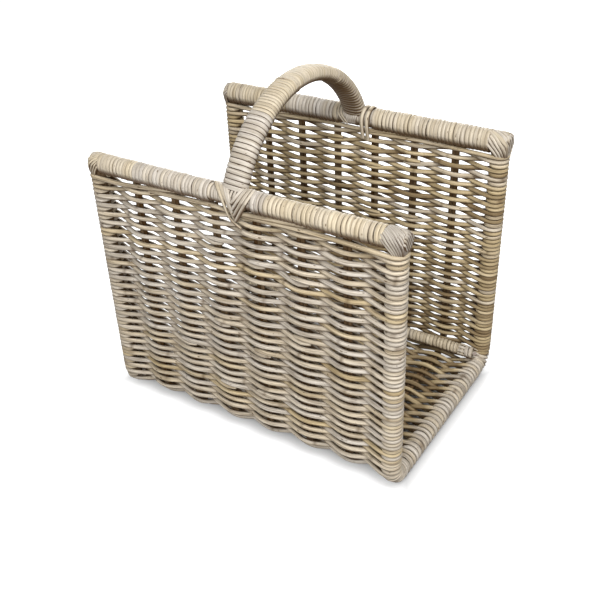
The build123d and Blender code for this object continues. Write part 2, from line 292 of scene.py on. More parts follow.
def strand_tree():
    """Geometry tree that turns edge paths into closed strands of a round or flat section."""
    tree = bpy.data.node_groups.new("strand_tube", "GeometryNodeTree")
    for name, kind in STRAND_INPUTS.items():
        tree.interface.new_socket(name, in_out="INPUT", socket_type=kind)
    tree.interface.new_socket("Geometry", in_out="OUTPUT", socket_type="NodeSocketGeometry")
    start = add_node(tree, "NodeGroupInput")
    end = add_node(tree, "NodeGroupOutput")

    path = add_node(tree, "GeometryNodeMeshToCurve")
    link(tree, start.outputs["Geometry"], path.inputs["Mesh"])
    turn = add_node(tree, "GeometryNodeSetCurveNormal", mode="FREE")
    link(tree, path.outputs["Curve"], turn.inputs["Curve"])
    link(tree, named_value(tree, "face", "FLOAT_VECTOR"), turn.inputs["Normal"])

    rough = add_node(tree, "ShaderNodeTexNoise", noise_dimensions="4D")
    place = add_node(tree, "GeometryNodeInputPosition")
    link(tree, place.outputs["Position"], rough.inputs["Vector"])
    link(tree, start.outputs["Uneven Scale"], rough.inputs["Scale"])
    link(tree, start.outputs["Seed"], rough.inputs["W"])
    swing = maths(tree, "SUBTRACT", rough.outputs["Fac"], 0.5)
    swell = maths(tree, "MULTIPLY", swing, start.outputs["Unevenness"])
    scale = maths(tree, "ADD", swell, 1.0)
    girth = maths(tree, "MULTIPLY", named_value(tree, "girth", "FLOAT"), scale)

    ring = add_node(tree, "GeometryNodeCurvePrimitiveCircle", mode="RADIUS")
    ring.inputs["Radius"].default_value = 1.0
    link(tree, start.outputs["Sides"], ring.inputs["Resolution"])
    mark = add_node(tree, "GeometryNodeStoreNamedAttribute", data_type="FLOAT_VECTOR", domain="POINT")
    mark.inputs["Name"].default_value = "ring"
    link(tree, ring.outputs["Curve"], mark.inputs["Geometry"])
    spot = add_node(tree, "GeometryNodeInputPosition")
    link(tree, spot.outputs["Position"], mark.inputs["Value"])
    squash = add_node(tree, "GeometryNodeTransform")
    link(tree, mark.outputs["Geometry"], squash.inputs["Geometry"])
    section = add_node(tree, "ShaderNodeCombineXYZ")
    section.inputs["Y"].default_value = 1.0
    section.inputs["Z"].default_value = 1.0
    link(tree, start.outputs["Flatness"], section.inputs["X"])
    link(tree, section.outputs["Vector"], squash.inputs["Scale"])

    tube = add_node(tree, "GeometryNodeCurveToMesh")
    tube.inputs["Fill Caps"].default_value = True
    link(tree, turn.outputs["Curve"], tube.inputs["Curve"])
    link(tree, girth, tube.inputs["Scale"])
    link(tree, squash.outputs["Geometry"], tube.inputs["Profile Curve"])
    smooth = add_node(tree, "GeometryNodeSetShadeSmooth")
    link(tree, tube.outputs["Mesh"], smooth.inputs["Geometry"])
    real = add_node(tree, "GeometryNodeRealizeInstances")
    link(tree, smooth.outputs["Geometry"], real.inputs["Geometry"])
    finish = add_node(tree, "GeometryNodeSetMaterial")
    link(tree, real.outputs["Geometry"], finish.inputs["Geometry"])
    link(tree, start.outputs["Finish"], finish.inputs["Material"])
    link(tree, finish.outputs["Geometry"], end.inputs["Geometry"])
    return tree


class Strand:
    """One strand's path: points, girths, section facings, tints, ring marks (painted shade on the handle) and
    open sides.
    """

    def __init__(self, tint):
        self.tint = tint
        self.points = []
        self.girths = []
        self.faces = []
        self.tints = []
        self.marks = []
        self.opens = []

    def add(self, point, girth, face, tint=None, mark=0.0, open_to=(0.0, 0.0, 0.0)):
        """One more point of the path; open_to is the way in which nothing covers it."""
        self.points.append(Vector(point))
        self.girths.append(girth)
        self.faces.append(Vector(face))
        self.tints.append(self.tint if tint is None else tint)
        self.marks.append(mark)
        self.opens.append(Vector(open_to))


def store(mesh, name, kind, values):
    """A named value on each point of a mesh."""
    layer = mesh.attributes.new(name, kind, "POINT")
    layer.data.foreach_set("vector" if kind == "FLOAT_VECTOR" else "value", values)


def path_mesh(name, strands):
    """A mesh of edge paths with the values that the strand tree reads."""
    mesh = bpy.data.meshes.new(name)
    points = [point for strand in strands for point in strand.points]
    edges = []
    runs = []
    first = 0
    for strand in strands:
        run = 0.0
        for index, point in enumerate(strand.points):
            if index:
                run += (point - strand.points[index - 1]).length
                edges.append((first + index - 1, first + index))
            runs.append(run)
        first += len(strand.points)
    mesh.from_pydata(points, edges, [])
    store(mesh, "girth", "FLOAT", [value for strand in strands for value in strand.girths])
    store(mesh, "tint", "FLOAT", [value for strand in strands for value in strand.tints])
    store(mesh, "mark", "FLOAT", [value for strand in strands for value in strand.marks])
    store(mesh, "along", "FLOAT", runs)
    store(mesh, "own", "FLOAT", [strand.tint for strand in strands for _ in strand.points])
    faces = [value for strand in strands for face in strand.faces for value in face]
    store(mesh, "face", "FLOAT_VECTOR", faces)
    opens = [value for strand in strands for way in strand.opens for value in way]
    store(mesh, "open_to", "FLOAT_VECTOR", opens)
    return mesh


# Sections of the strands: sides, flatness, unevenness and the scale of the unevenness
Section = namedtuple("Section", "sides flatness unevenness uneven_scale")
WEAVER = Section(9, 1.0, 0.22, 55.0)
STAKE = Section(10, 1.0, 0.12, 60.0)
HANDLE_PEEL = Section(10, 0.42, 0.08, 90.0)
CORNER_STRAP = Section(10, 0.75, 0.15, 90.0)
BOTTOM_STRAP = Section(10, 0.5, 0.12, 90.0)
HANDLE_STRAP = Section(10, 0.8, 0.15, 90.0)
TOP_POLE = Section(24, 1.0, 0.0, 60.0)
BOTTOM_POLE = Section(16, 1.0, 0.0, 60.0)


def rail_peel(peel):
    """Section of the peel on the rails, as flat as its thickness and width say."""
    return Section(10, peel.wrap_thickness / peel.wrap_width, 0.10, 90.0)


def build_strands(name, strands, finish, section, seed=0):
    """Runs the strand tree on the paths and keeps its result as one plain mesh object."""
    tree = bpy.data.node_groups.get("strand_tube") or strand_tree()
    piece = bpy.data.objects.new(name, path_mesh(name + "_paths", strands))
    bpy.context.scene.collection.objects.link(piece)
    modifier = piece.modifiers.new("strands", "NODES")
    modifier.node_group = tree
    values = {
        "Sides": section.sides,
        "Flatness": section.flatness,
        "Unevenness": section.unevenness,
        "Uneven Scale": section.uneven_scale,
        "Seed": seed,
        "Finish": finish_of(finish),
    }
    for socket in tree.interface.items_tree:
        if socket.in_out == "INPUT" and socket.name in values:
            modifier[socket.identifier] = values[socket.name]
    graph = bpy.context.evaluated_depsgraph_get()
    grown = piece.evaluated_get(graph)
    mesh = bpy.data.meshes.new_from_object(grown, preserve_all_data_layers=True, depsgraph=graph)
    piece.modifiers.remove(modifier)
    paths = piece.data
    piece.data = mesh
    mesh.name = name
    bpy.data.meshes.remove(paths)
    if not mesh.polygons:
        raise RuntimeError(f"{name} has no faces")
    return piece


def keep(piece, slot, *nodes):
    """The piece rides on the rack and stands for those nodes; slot is not used."""
    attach(piece, "root")
    if nodes:
        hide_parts(*nodes)


# Finishes
def attribute(tree, name, output):
    """A named value of the piece inside a material."""
    node = add_node(tree, "ShaderNodeAttribute", attribute_name=name)
    return node.outputs[output]


def ramp(tree, factor, *stops):
    """A colour ramp; each stop is a place and a colour."""
    node = add_node(tree, "ShaderNodeValToRGB")
    while len(node.color_ramp.elements) < len(stops):
        node.color_ramp.elements.new(0.5)
    for element, (place, colour) in zip(node.color_ramp.elements, stops):
        element.position = place
        element.color = (*colour, 1.0)
    link(tree, factor, node.inputs["Fac"])
    return node.outputs["Color"]


def grey_ramp(tree, factor, *stops):
    """A ramp of greys; each stop is a place and a grey."""
    return ramp(tree, factor, *((place, (grey, grey, grey)) for place, grey in stops))


# A mix node has sockets of the same name for each kind of value, so its colours are found by number
MIX_COLOURS = (6, 7)
MIX_RESULT = 2


def blend(tree, factor, first, second, mode="MIX"):
    """Mixes two colours; the factor and each colour is a socket or a value."""
    node = add_node(tree, "ShaderNodeMix", data_type="RGBA", blend_type=mode)
    sockets = (node.inputs["Factor"], *(node.inputs[number] for number in MIX_COLOURS))
    for socket, value in zip(sockets, (factor, first, second)):
        if isinstance(value, bpy.types.NodeSocket):
            link(tree, value, socket)
        else:
            socket.default_value = value if isinstance(value, float) else (*value, 1.0)
    return node.outputs[MIX_RESULT]


def parts_of(tree, vector):
    """The x, y and z of a vector."""
    node = add_node(tree, "ShaderNodeSeparateXYZ")
    link(tree, vector, node.inputs["Vector"])
    return node.outputs


def own_space(tree, output):
    """The place or the normal of a surface in the object's own space."""
    return add_node(tree, "ShaderNodeTexCoord").outputs[output]


# How far the noise of one strand lies from that of another, for each unit of tint between them
OWN_SHIFT = 91.0


def fibre_noise(tree, along_scale, ring_scale, detail):
    """Noise stretched along a strand, closed all the way round it."""
    ring = parts_of(tree, attribute(tree, "ring", "Vector"))
    run = maths(tree, "MULTIPLY", attribute(tree, "along", "Fac"), along_scale)
    shift = maths(tree, "MULTIPLY", attribute(tree, "own", "Fac"), OWN_SHIFT)
    coords = add_node(tree, "ShaderNodeCombineXYZ")
    link(tree, maths(tree, "ADD", run, shift), coords.inputs["X"])
    link(tree, maths(tree, "MULTIPLY", ring["X"], ring_scale), coords.inputs["Y"])
    link(tree, maths(tree, "MULTIPLY", ring["Y"], ring_scale), coords.inputs["Z"])
    return noise_of(tree, coords.outputs["Vector"], 1.0, detail)


def noise_of(tree, place, scale, detail):
    """Soft noise at a place."""
    texture = add_node(tree, "ShaderNodeTexNoise")
    texture.inputs["Scale"].default_value = scale
    texture.inputs["Detail"].default_value = detail
    link(tree, place, texture.inputs["Vector"])
    return texture.outputs["Fac"]


def shader(name, roughness, gloss):
    """A new material; returns it with its tree and its surface shader."""
    material = bpy.data.materials.new(name)
    material.use_nodes = True
    tree = material.node_tree
    surface = tree.nodes["Principled BSDF"]
    surface.inputs["Roughness"].default_value = roughness
    surface.inputs["Specular IOR Level"].default_value = gloss
    return material, tree, surface


def bump(tree, surface, height, strength, distance):
    """Raises a surface by a height value."""
    node = add_node(tree, "ShaderNodeBump")
    node.inputs["Strength"].default_value = strength
    node.inputs["Distance"].default_value = distance
    link(tree, height, node.inputs["Height"])
    link(tree, node.outputs["Normal"], surface.inputs["Normal"])


def growth(tree, value, first, last):
    """Grows softly from 0 to 1 while the value goes from the first bound to the last."""
    node = add_node(tree, "ShaderNodeMapRange", interpolation_type="SMOOTHSTEP")
    node.inputs["From Min"].default_value = first
    node.inputs["From Max"].default_value = last
    link(tree, value, node.inputs["Value"])
    return node.outputs["Result"]


def height_of_normal(tree):
    """How far a surface faces up, from -1 to 1, in the object's own space."""
    return parts_of(tree, own_space(tree, "Normal"))["Z"]


# How much sooner a seam shows where a strand faces down, as painted shade, and where it is darkest
SEAM_SHADE_LEAN = 0.2
SEAM_FULL = 0.98


def seam_and_crevice_shade(tree, axis, start):
    """Grows from 0 to 1 at both sides of a strand: dark seams that are partly painted crevice shade.

    Across Y these are a strip's edges, across X the sides next to other woven strands.
    """
    ring = parts_of(tree, attribute(tree, "ring", "Vector"))
    aside = maths(tree, "ABSOLUTE", ring[axis], 0.0)
    lean = maths(tree, "MULTIPLY", height_of_normal(tree), SEAM_SHADE_LEAN)
    return growth(tree, maths(tree, "SUBTRACT", aside, lean), start, SEAM_FULL)


# Bounds between which a strand's side towards its stakes darkens, as painted shade
STAKE_SHADE_BOUNDS = (0.15, -0.55)


def stake_side_shade(tree):
    """Grows from 0 to 1 where a strand's surface faces the stakes that it passes: painted shade there."""
    facing = add_node(tree, "ShaderNodeVectorMath", operation="DOT_PRODUCT")
    link(tree, own_space(tree, "Normal"), facing.inputs[0])
    link(tree, attribute(tree, "open_to", "Vector"), facing.inputs[1])
    return growth(tree, facing.outputs["Value"], *STAKE_SHADE_BOUNDS)


# Noises of a strand: scale along it, scale round it and detail
TINT_NOISE = (14.0, 0.7, 2.0)
FIBRE_NOISE = (45.0, 3.6, 5.0)
DUST_NOISE = (23.0, 0.9, 3.0)
SPECK_NOISE = (260.0, 1.9, 1.0)
SPOT_NOISE = (150.0, 0.9, 1.0)
SEAM_NOISE = (60.0, 0.5, 2.0)
# How far a strand's tint swings along it
TINT_SWING = 0.5
# Bounds of the noise for fibre lines, specks, spots and broken seams
FIBRE_BOUNDS = (0.34, 0.52)
SPECK_BOUNDS = (0.74, 0.80)
SPOT_BOUNDS = (0.735, 0.77)
SEAM_BOUNDS = (0.30, 0.56)
# Dusty patches: what multiplies the colour at two places of their noise
DUST_STOPS = ((0.38, (0.78, 0.75, 0.70)), (0.60, (1.1, 1.1, 1.1)))
# How much of the fibre's brown the specks and spots take, and the ring marks, which on the handle are painted
# shade on the inner side of the arc
SPOT_STRENGTH = 0.8
RING_AND_SHADE_STRENGTH = 0.7
# Height of the grain on strands and poles in metres, and how strongly it shows on each
GRAIN_HEIGHT = 0.0006
STRAND_GRAIN = 0.4
POLE_GRAIN = 0.3
# Noise of the grain on bare poles and of the rust on nails: scale and detail
POLE_NOISE = (420.0, 4.0)
RUST_NOISE = (900.0, 2.0)
# Where the noise gives a pole its grain and how much of it, and a nail its wire and its rust
POLE_STOPS = ((0.40, 0.6), (0.62, 0.0))
NAIL_STOPS = ((0.4, (0.34, 0.32, 0.30)), (0.7, (0.22, 0.12, 0.07)))

# Looks of the strands: the seam's axis is that of the section, and undersides darken between two bounds as
# painted shade
Look = namedtuple(
    "Look", "roughness gloss fibre_strength seam_axis seam_strength seam_start under_strength under_bounds"
)
LOOKS = {
    "weaver_rattan": Look(0.55, 0.20, 0.55, "X", 0.4, 0.76, 0.95, (-0.05, -0.65)),
    "peel_rattan": Look(0.45, 0.22, 0.30, "Y", 1.0, 0.68, 0.95, (0.15, -0.50)),
    "lash_rattan": Look(0.50, 0.20, 0.40, "Y", 1.0, 0.50, 0.95, (0.15, -0.50)),
    "stake_rattan": Look(0.7, 0.14, 0.6, "X", 0.0, 0.76, 0.4, (-0.05, -0.65)),
}


def strand_material(name, colours, fibre):
    """Rattan along a strand.

    Each strand has its own tint, with fibre lines, dusty patches, specks and dark rings over it; on the
    handle those ring marks are painted shade on the inner side of the arc.
    Undersides and sides towards the stakes take the fibre's colour as painted shade, and seams take it as
    dark joints that are partly painted crevice shade.
    """
    look = LOOKS[name]
    material, tree, surface = shader(name, look.roughness, look.gloss)
    steps = [index / (len(colours) - 1) for index in range(len(colours))]
    swing = maths(tree, "SUBTRACT", fibre_noise(tree, *TINT_NOISE), 0.5)
    shift = maths(tree, "MULTIPLY", swing, TINT_SWING)
    tint = maths(tree, "ADD", attribute(tree, "tint", "Fac"), shift)
    colour = ramp(tree, tint, *zip(steps, colours))

    grain = fibre_noise(tree, *FIBRE_NOISE)
    lines = grey_ramp(tree, grain, *zip(FIBRE_BOUNDS, (look.fibre_strength, 0.0)))
    colour = blend(tree, lines, colour, fibre)
    dust = ramp(tree, fibre_noise(tree, *DUST_NOISE), *DUST_STOPS)
    colour = blend(tree, 1.0, colour, dust, mode="MULTIPLY")
    for pattern, bounds in ((SPECK_NOISE, SPECK_BOUNDS), (SPOT_NOISE, SPOT_BOUNDS)):
        dots = grey_ramp(tree, fibre_noise(tree, *pattern), *zip(bounds, (0.0, SPOT_STRENGTH)))
        colour = blend(tree, dots, colour, fibre)
    # Ring marks, and on the handle painted shade on the inner side of the arc
    rings_and_shade = maths(tree, "MULTIPLY", attribute(tree, "mark", "Fac"), RING_AND_SHADE_STRENGTH)
    colour = blend(tree, rings_and_shade, colour, fibre)

    # Painted shade: undersides and the sides that face the stakes take the fibre's brown
    underside_shade = growth(tree, height_of_normal(tree), *look.under_bounds)
    painted_shade = maths(tree, "MAXIMUM", underside_shade, stake_side_shade(tree))
    colour = blend(tree, maths(tree, "MULTIPLY", painted_shade, look.under_strength), colour, fibre)
    # Seams: dark joints between neighbouring strands, partly painted crevice shade, shown sooner where a
    # surface faces down
    broken = growth(tree, fibre_noise(tree, *SEAM_NOISE), *SEAM_BOUNDS)
    strength = maths(tree, "MULTIPLY", broken, look.seam_strength)
    edges = maths(tree, "MULTIPLY", seam_and_crevice_shade(tree, look.seam_axis, look.seam_start), strength)
    link(tree, blend(tree, edges, colour, fibre), surface.inputs["Base Color"])
    bump(tree, surface, grain, STRAND_GRAIN, GRAIN_HEIGHT)
    return material


def pole_material(name, colour, fibre):
    """Bare rattan pole: soft grain in the object's own space."""
    material, tree, surface = shader(name, 0.6, 0.3)
    grain = noise_of(tree, own_space(tree, "Object"), *POLE_NOISE)
    lines = grey_ramp(tree, grain, *POLE_STOPS)
    link(tree, blend(tree, lines, colour, fibre), surface.inputs["Base Color"])
    bump(tree, surface, grain, POLE_GRAIN, GRAIN_HEIGHT)
    return material


def nail_material(name):
    """Dull wire nail with a little rust."""
    material, tree, surface = shader(name, 0.5, 0.5)
    surface.inputs["Metallic"].default_value = 1.0
    rust = noise_of(tree, own_space(tree, "Object"), *RUST_NOISE)
    link(tree, ramp(tree, rust, *NAIL_STOPS), surface.inputs["Base Color"])
    return material


# The lashings keep this share of the other peel's colour
LASH_SHADE = 0.77


def finish_of(name):
    """One of the rack's finishes, made when it is first needed."""
    known = bpy.data.materials.get(name)
    if known:
        return known
    tones = bpy.context.scene.rack_colours
    brown, dark = tuple(tones.strand_brown), tuple(tones.stake_brown)
    woven = (tones.strand_grey, tones.strand_beige, tones.strand_straw, tones.strand_tan_and_shade)
    peel = [tuple(tone) for tone in (tones.peel_pale, tones.peel_cream)]
    colours = {
        "weaver_rattan": [tuple(tone) for tone in woven],
        "peel_rattan": peel,
        "lash_rattan": [tuple(part * LASH_SHADE for part in tone) for tone in peel],
        "stake_rattan": [dark, brown],
    }
    if name in colours:
        return strand_material(name, colours[name], brown)
    if name == "pole_rattan":
        return pole_material(name, brown, dark)
    return nail_material(name)


# Weave
class Row:
    """A row's place on the U: a point, the way the profile runs, the outward way and the run so far."""

    def __init__(self, y, z, run, outward, travelled):
        self.y = y
        self.z = z
        self.run = run
        self.outward = outward
        self.travelled = travelled

    def point(self, along, out, drift):
        """A point of the row: x, distance outward and drift along the profile."""
        return Vector((
            along,
            self.y + self.outward[0] * out + self.run[0] * drift,
            self.z + self.outward[1] * out + self.run[1] * drift,
        ))


def bend_row(weave, middle, turn, travelled):
    """A row on a bottom bend round the middle with that y, at an angle from the front."""
    bend = weave.bend_radius
    outward = (-math.cos(turn), -math.sin(turn))
    run = (-outward[1], outward[0])
    return Row(middle + bend * outward[0], HOOP_HEIGHT + bend + bend * outward[1], run, outward, travelled)


def u_rows(weave):
    """All rows in order: down the front, round the floor and up the back."""
    bend_height = HOOP_HEIGHT + weave.bend_radius
    floor_half = HALF_SPREAD - weave.bend_radius
    count = round((PANEL_TOP - bend_height) / weave.row_pitch)
    shares = [(index + 0.5) / count for index in range(count)]
    tall = weave.row_pitch * count
    heights = [bend_height + tall * (share + weave.settle * share * (share - 1)) for share in shares]
    angles = [math.pi / 2 * (index + 0.5) / weave.bend_rows for index in range(weave.bend_rows)]
    step = 2 * floor_half / weave.floor_rows
    front, floor, back = [], [], []
    travelled = 0.0
    for height in reversed(heights):
        front.append(Row(-HALF_SPREAD, height, (0, -1), (-1, 0), travelled))
        travelled += weave.row_pitch
    for angle in angles:
        floor.append(bend_row(weave, -floor_half, angle, travelled))
        travelled += weave.row_pitch
    for index in range(weave.floor_rows):
        floor.append(Row(-floor_half + step * (index + 0.5), HOOP_HEIGHT, (1, 0), (0, -1), travelled))
        travelled += step
    for angle in angles:
        floor.append(bend_row(weave, floor_half, angle + math.pi / 2, travelled))
        travelled += weave.row_pitch
    for height in heights:
        back.append(Row(HALF_SPREAD, height, (0, 1), (1, 0), travelled))
        travelled += weave.row_pitch
    return front, floor, back


# A bay between two stakes: its steps and the share of it in which a strand bends at each stake
BAY_STEPS = 15
BAY_BEND = 0.24
# A hook round a post: its steps, how far it goes on past a half turn and how deep it presses in
HOOK_STEPS = 15
HOOK_PAST = math.radians(80)
HOOK_PRESS = 0.0008
# Middle tint of the strands, from grey at 0 to tan at 1: browner down the back and on the floor, as painted
# shade of the rack's inside
FRONT_TINT = 0.25
BACK_SHADE_TINT = 0.60
FLOOR_SHADE_TINT = 0.85
TINT_SPREAD = 0.19
# How much paler the floor's strands are where they go round the hoops, where the painted shade of the floor
# gives way, and over what length
FLOOR_END_PALING = 0.75
END_PALING_LENGTH = 0.018
# Range of a strand's thickness, as a share of the common one
THICK_RANGE = (0.87, 1.08)
# Dark rings on a strand: range of the distance between them, half their length and how far they swell
RING_GAPS = (0.11, 0.24)
RING_HALF = 0.0028
RING_SWELL = 0.09
# Scales of the wander that neighbours share, along a row and from row to row, and of each strand's own
BROAD_SCALES = (9.0, 7.0)
OWN_SCALE = 20.0
OWN_SWAY = 0.5
# How much of its wander a row loses at the posts
POST_CALM = 0.75
# How far spliced ends move apart, as a share of the thickness
SPLICE_ASIDE = 0.42
# An end starts with this share of its girth and grows by so much at each step
TIP_GIRTH = 0.7
TIP_GROWTH = 0.1
# Greatest girth of a strand near a post, as a share of the thickness, and how near
POST_GIRTH = 0.47
POST_LENGTH = 0.012
# Least height of a strand above the ground, in girths
GROUND_GIRTHS = 1.13


def eased(part):
    """Share of the way across a bay: a straight run with a soft bend at both stakes."""
    near = min(part, 1 - part)
    if near < BAY_BEND:
        share = near ** 2 / (2 * BAY_BEND * (1 - BAY_BEND))
    else:
        share = (near - BAY_BEND / 2) / (1 - BAY_BEND)
    return share if part <= 0.5 else 1 - share


def row_line(weave, side):
    """Places (x, outward) along a row that starts on the given side, with a hook round both posts."""
    thick = weave.strand_thickness
    wave = STAKE_RADIUS + thick / 2 + weave.stand_off
    hook = HOOP_RADIUS + thick / 2 - HOOK_PRESS
    knots = [(-HOOP_X, -side * hook)]
    for index, x in enumerate(STAKE_X):
        knots.append((x, side * wave * (-1) ** index))
    last = -math.copysign(hook, knots[-1][1])
    knots.append((HOOP_X, last))
    turns = [(math.pi + HOOK_PAST) * index / HOOK_STEPS - HOOK_PAST for index in range(HOOK_STEPS)]
    line = [(-HOOP_X - hook * math.sin(turn), side * hook * math.cos(turn)) for turn in turns]
    for (x0, v0), (x1, v1) in zip(knots, knots[1:]):
        for index in range(BAY_STEPS):
            part = index / BAY_STEPS
            line.append((x0 + (x1 - x0) * part, v0 + (v1 - v0) * eased(part)))
    line.append(knots[-1])
    line += [(HOOP_X + hook * math.sin(turn), -last * math.cos(turn)) for turn in reversed(turns)]
    return line


def woven_strand(weave, row, line, chance, splice=0.0, way=0):
    """One woven strand, with its own tint, thickness, sway and rings; at a splice it moves aside."""
    if row.outward[0] < -0.5:
        middle = FRONT_TINT
    else:
        # Down the back the tint darkens towards the floor: painted shade of the rack's inside
        middle = FLOOR_SHADE_TINT + (BACK_SHADE_TINT - FLOOR_SHADE_TINT) * row.z / PANEL_TOP
    on_floor = row.outward[1] < -0.5
    strand = Strand(limited(chance.gauss(middle, TINT_SPREAD)))
    girth = weave.strand_thickness / 2 * chance.uniform(*THICK_RANGE)
    wave = STAKE_RADIUS + weave.strand_thickness / 2 + weave.stand_off
    ring_gap = chance.uniform(*RING_GAPS)
    ring_start = chance.uniform(0.0, ring_gap)
    up = math.copysign(1, row.y)
    face = (0, up * row.run[0], up * row.run[1])
    wander = chance.uniform(0, 50)
    for index, (x, out) in enumerate(line):
        broad = noise.noise(Vector((x * BROAD_SCALES[0], row.travelled * BROAD_SCALES[1], weave.seed)))
        own = noise.noise(Vector((x * OWN_SCALE, wander, weave.seed))) * OWN_SWAY
        calm = 1.0 - POST_CALM * min(1.0, abs(x) / HOOP_X) ** 4
        apart = max(0.0, 1.0 - abs(x - splice) / weave.splice_ease)
        aside = way * apart * weave.strand_thickness * SPLICE_ASIDE
        drift = ((broad + own) * weave.sway + out * weave.dip) * calm + aside
        from_ring = abs((x + ring_start) % ring_gap - ring_gap / 2)
        mark = max(0.0, 1.0 - from_ring / RING_HALF)
        from_end = min(index, len(line) - 1 - index)
        thick = girth * (1 + RING_SWELL * mark) * min(1.0, TIP_GIRTH + TIP_GROWTH * from_end)
        if abs(x) > HOOP_X - POST_LENGTH:
            thick = min(thick, weave.strand_thickness * POST_GIRTH)
        point = row.point(x, out, drift)
        point.z = max(point.z, thick * GROUND_GIRTHS)
        bare = max(-1.0, min(1.0, out / wave))
        open_to = (0, row.outward[0] * bare, row.outward[1] * bare)
        # Round the hoops the floor's painted shade gives way to a paler tint
        paling = limited((abs(x) - HOOP_X) / END_PALING_LENGTH + 1.0) * FLOOR_END_PALING
        tint = max(0.0, strand.tint - paling) if on_floor else strand.tint
        strand.add(point, thick, face, tint, mark, open_to)
    return strand


def weave_row(weave, row, side, chance):
    """The strands of one woven row: one, or two that overlap at a stake."""
    line = row_line(weave, side)
    if chance.random() > weave.splice_share:
        return [woven_strand(weave, row, line, chance)]
    stake = chance.choice(STAKE_X[1:-1])
    before = [(x, out) for x, out in line if x < stake + weave.splice_reach]
    after = [(x, out) for x, out in line if x > stake - weave.splice_reach]
    return [
        woven_strand(weave, row, before, chance, stake, 1),
        woven_strand(weave, row, after, chance, stake, -1),
    ]


def curve_through(knots, steps):
    """Points of a smooth curve through all the knots."""
    ends = [knots[0] * 2 - knots[1], *knots, knots[-1] * 2 - knots[-2]]
    points = []
    for before, first, last, after in zip(ends, ends[1:], ends[2:], ends[3:]):
        for index in range(steps):
            t = index / steps
            pull = (last - before) * t + (before * 2 - first * 5 + last * 4 - after) * t ** 2
            points.append(first + (pull + (first * 3 - before - last * 3 + after) * t ** 3) / 2)
    return [*points, knots[-1]]


# Loose strands along the top of a panel: the post that each goes round, left, none or right, then places
# along it as a share of the post's x, the height above the weave in metres and the reach towards the
# viewer as a share of the common one; at a post the hook sets the reach
BORDER_STRANDS = (
    (-1, ((-1.0, 0.0034, 1.0), (-0.77, 0.0018, 1.15), (-0.45, 0.0086, 1.0), (-0.36, 0.0108, 0.8))),
    (0, ((-0.64, 0.0020, -0.4), (-0.55, 0.0024, 1.0), (-0.18, 0.0050, 1.1), (0.06, 0.0042, 1.1),
         (0.45, 0.0090, 1.0), (0.55, 0.0110, 0.7))),
    (1, ((0.03, 0.0005, 0.4), (0.2, 0.0022, 1.1), (0.45, 0.0036, 1.1), (0.7, 0.0030, 1.15),
         (1.0, 0.0026, 1.0))),
)
BORDER_STEPS = 10
BORDER_TINTS = (0.37, 0.53)
# Girth of a loose strand as a share of the common thickness
BORDER_GIRTH = 0.46


def border_strands(weave, axis, chance):
    """The loose strands along the top of the panel with that axis, on the side of the viewer."""
    thick = weave.strand_thickness
    wave = STAKE_RADIUS + thick / 2
    hook = HOOP_RADIUS + thick / 2 - HOOK_PRESS / 2
    angles = [(math.pi + HOOK_PAST) * index / HOOK_STEPS for index in range(1, HOOK_STEPS + 1)]
    strands = []
    for post, places in BORDER_STRANDS:
        knots = []
        for share, lift, reach in places:
            out = hook if abs(share) == 1 else wave * reach
            knots.append(Vector((share * HOOP_X, axis - out, PANEL_TOP + lift)))
        points = curve_through(knots, BORDER_STEPS)
        if post:
            at = points[0] if post < 0 else points[-1]
            turn = [
                Vector((at.x + post * hook * math.sin(angle), axis - hook * math.cos(angle), at.z))
                for angle in angles
            ]
            points = [*reversed(turn), *points] if post < 0 else [*points, *turn]
        strand = Strand(chance.uniform(*BORDER_TINTS))
        for point in points:
            strand.add(point, thick * BORDER_GIRTH, (0, 0, 1))
        strands.append(strand)
    return strands


class RACK_OT_weave(bpy.types.Operator):
    """Weaves the front panel, the floor and the back panel"""

    bl_idname = "rack.weave"
    bl_label = "Weave panels and floor"

    def execute(self, context):
        weave = context.scene.rack_weave
        chance = random.Random(weave.seed)
        borders = {"front_panel": -HALF_SPREAD, "back_panel": HALF_SPREAD}
        count = 0
        for name, rows in zip(("front_panel", "floor", "back_panel"), u_rows(weave)):
            strands = []
            for row in rows:
                strands += weave_row(weave, row, 1 if count % 2 == 0 else -1, chance)
                count += 1
            if name in borders:
                strands += border_strands(weave, borders[name], chance)
            piece = build_strands(f"{name}_strands", strands, "weaver_rattan", WEAVER, count)
            keep(piece, "weaver_strand", f"{name}_weave")
        return {"FINISHED"}


# Steps in each stretch of a stake, and the seed of its unevenness
STAKE_STEPS = 12
STAKE_SEED = 3


def stake_strand(weave, x, top, chance):
    """A stake bent along the U: down the front, under the floor and up the back."""
    strand = Strand(chance.random())
    radius = weave.bend_radius
    low = HOOP_HEIGHT + radius
    half = HALF_SPREAD - radius
    shares = [index / STAKE_STEPS for index in range(STAKE_STEPS)]
    angles = [math.pi / 2 * share for share in shares]
    line = [(-HALF_SPREAD, top + (low - top) * share) for share in shares]
    line += [(-half - radius * math.cos(angle), low - radius * math.sin(angle)) for angle in angles]
    line += [(-half + 2 * half * share, HOOP_HEIGHT) for share in shares]
    line += [(half + radius * math.sin(angle), low - radius * math.cos(angle)) for angle in angles]
    line += [(HALF_SPREAD, low + (top - low) * share) for share in (*shares, 1.0)]
    for y, z in line:
        strand.add((x, y, z), STAKE_RADIUS, (1, 0, 0))
    return strand


class RACK_OT_stakes(bpy.types.Operator):
    """Sets the pairs of stakes that carry the weave"""

    bl_idname = "rack.stakes"
    bl_label = "Set stakes"

    def execute(self, context):
        weave = context.scene.rack_weave
        chance = random.Random(weave.seed + 1)
        for name in STAKE_PAIRS:
            low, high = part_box(name)
            strands = []
            for x in (low[0] + STAKE_RADIUS, high[0] - STAKE_RADIUS):
                strands.append(stake_strand(weave, x, high[2], chance))
            piece = build_strands(f"{name}_rods", strands, "stake_rattan", STAKE, STAKE_SEED)
            keep(piece, "stake_rod", name)
        return {"FINISHED"}


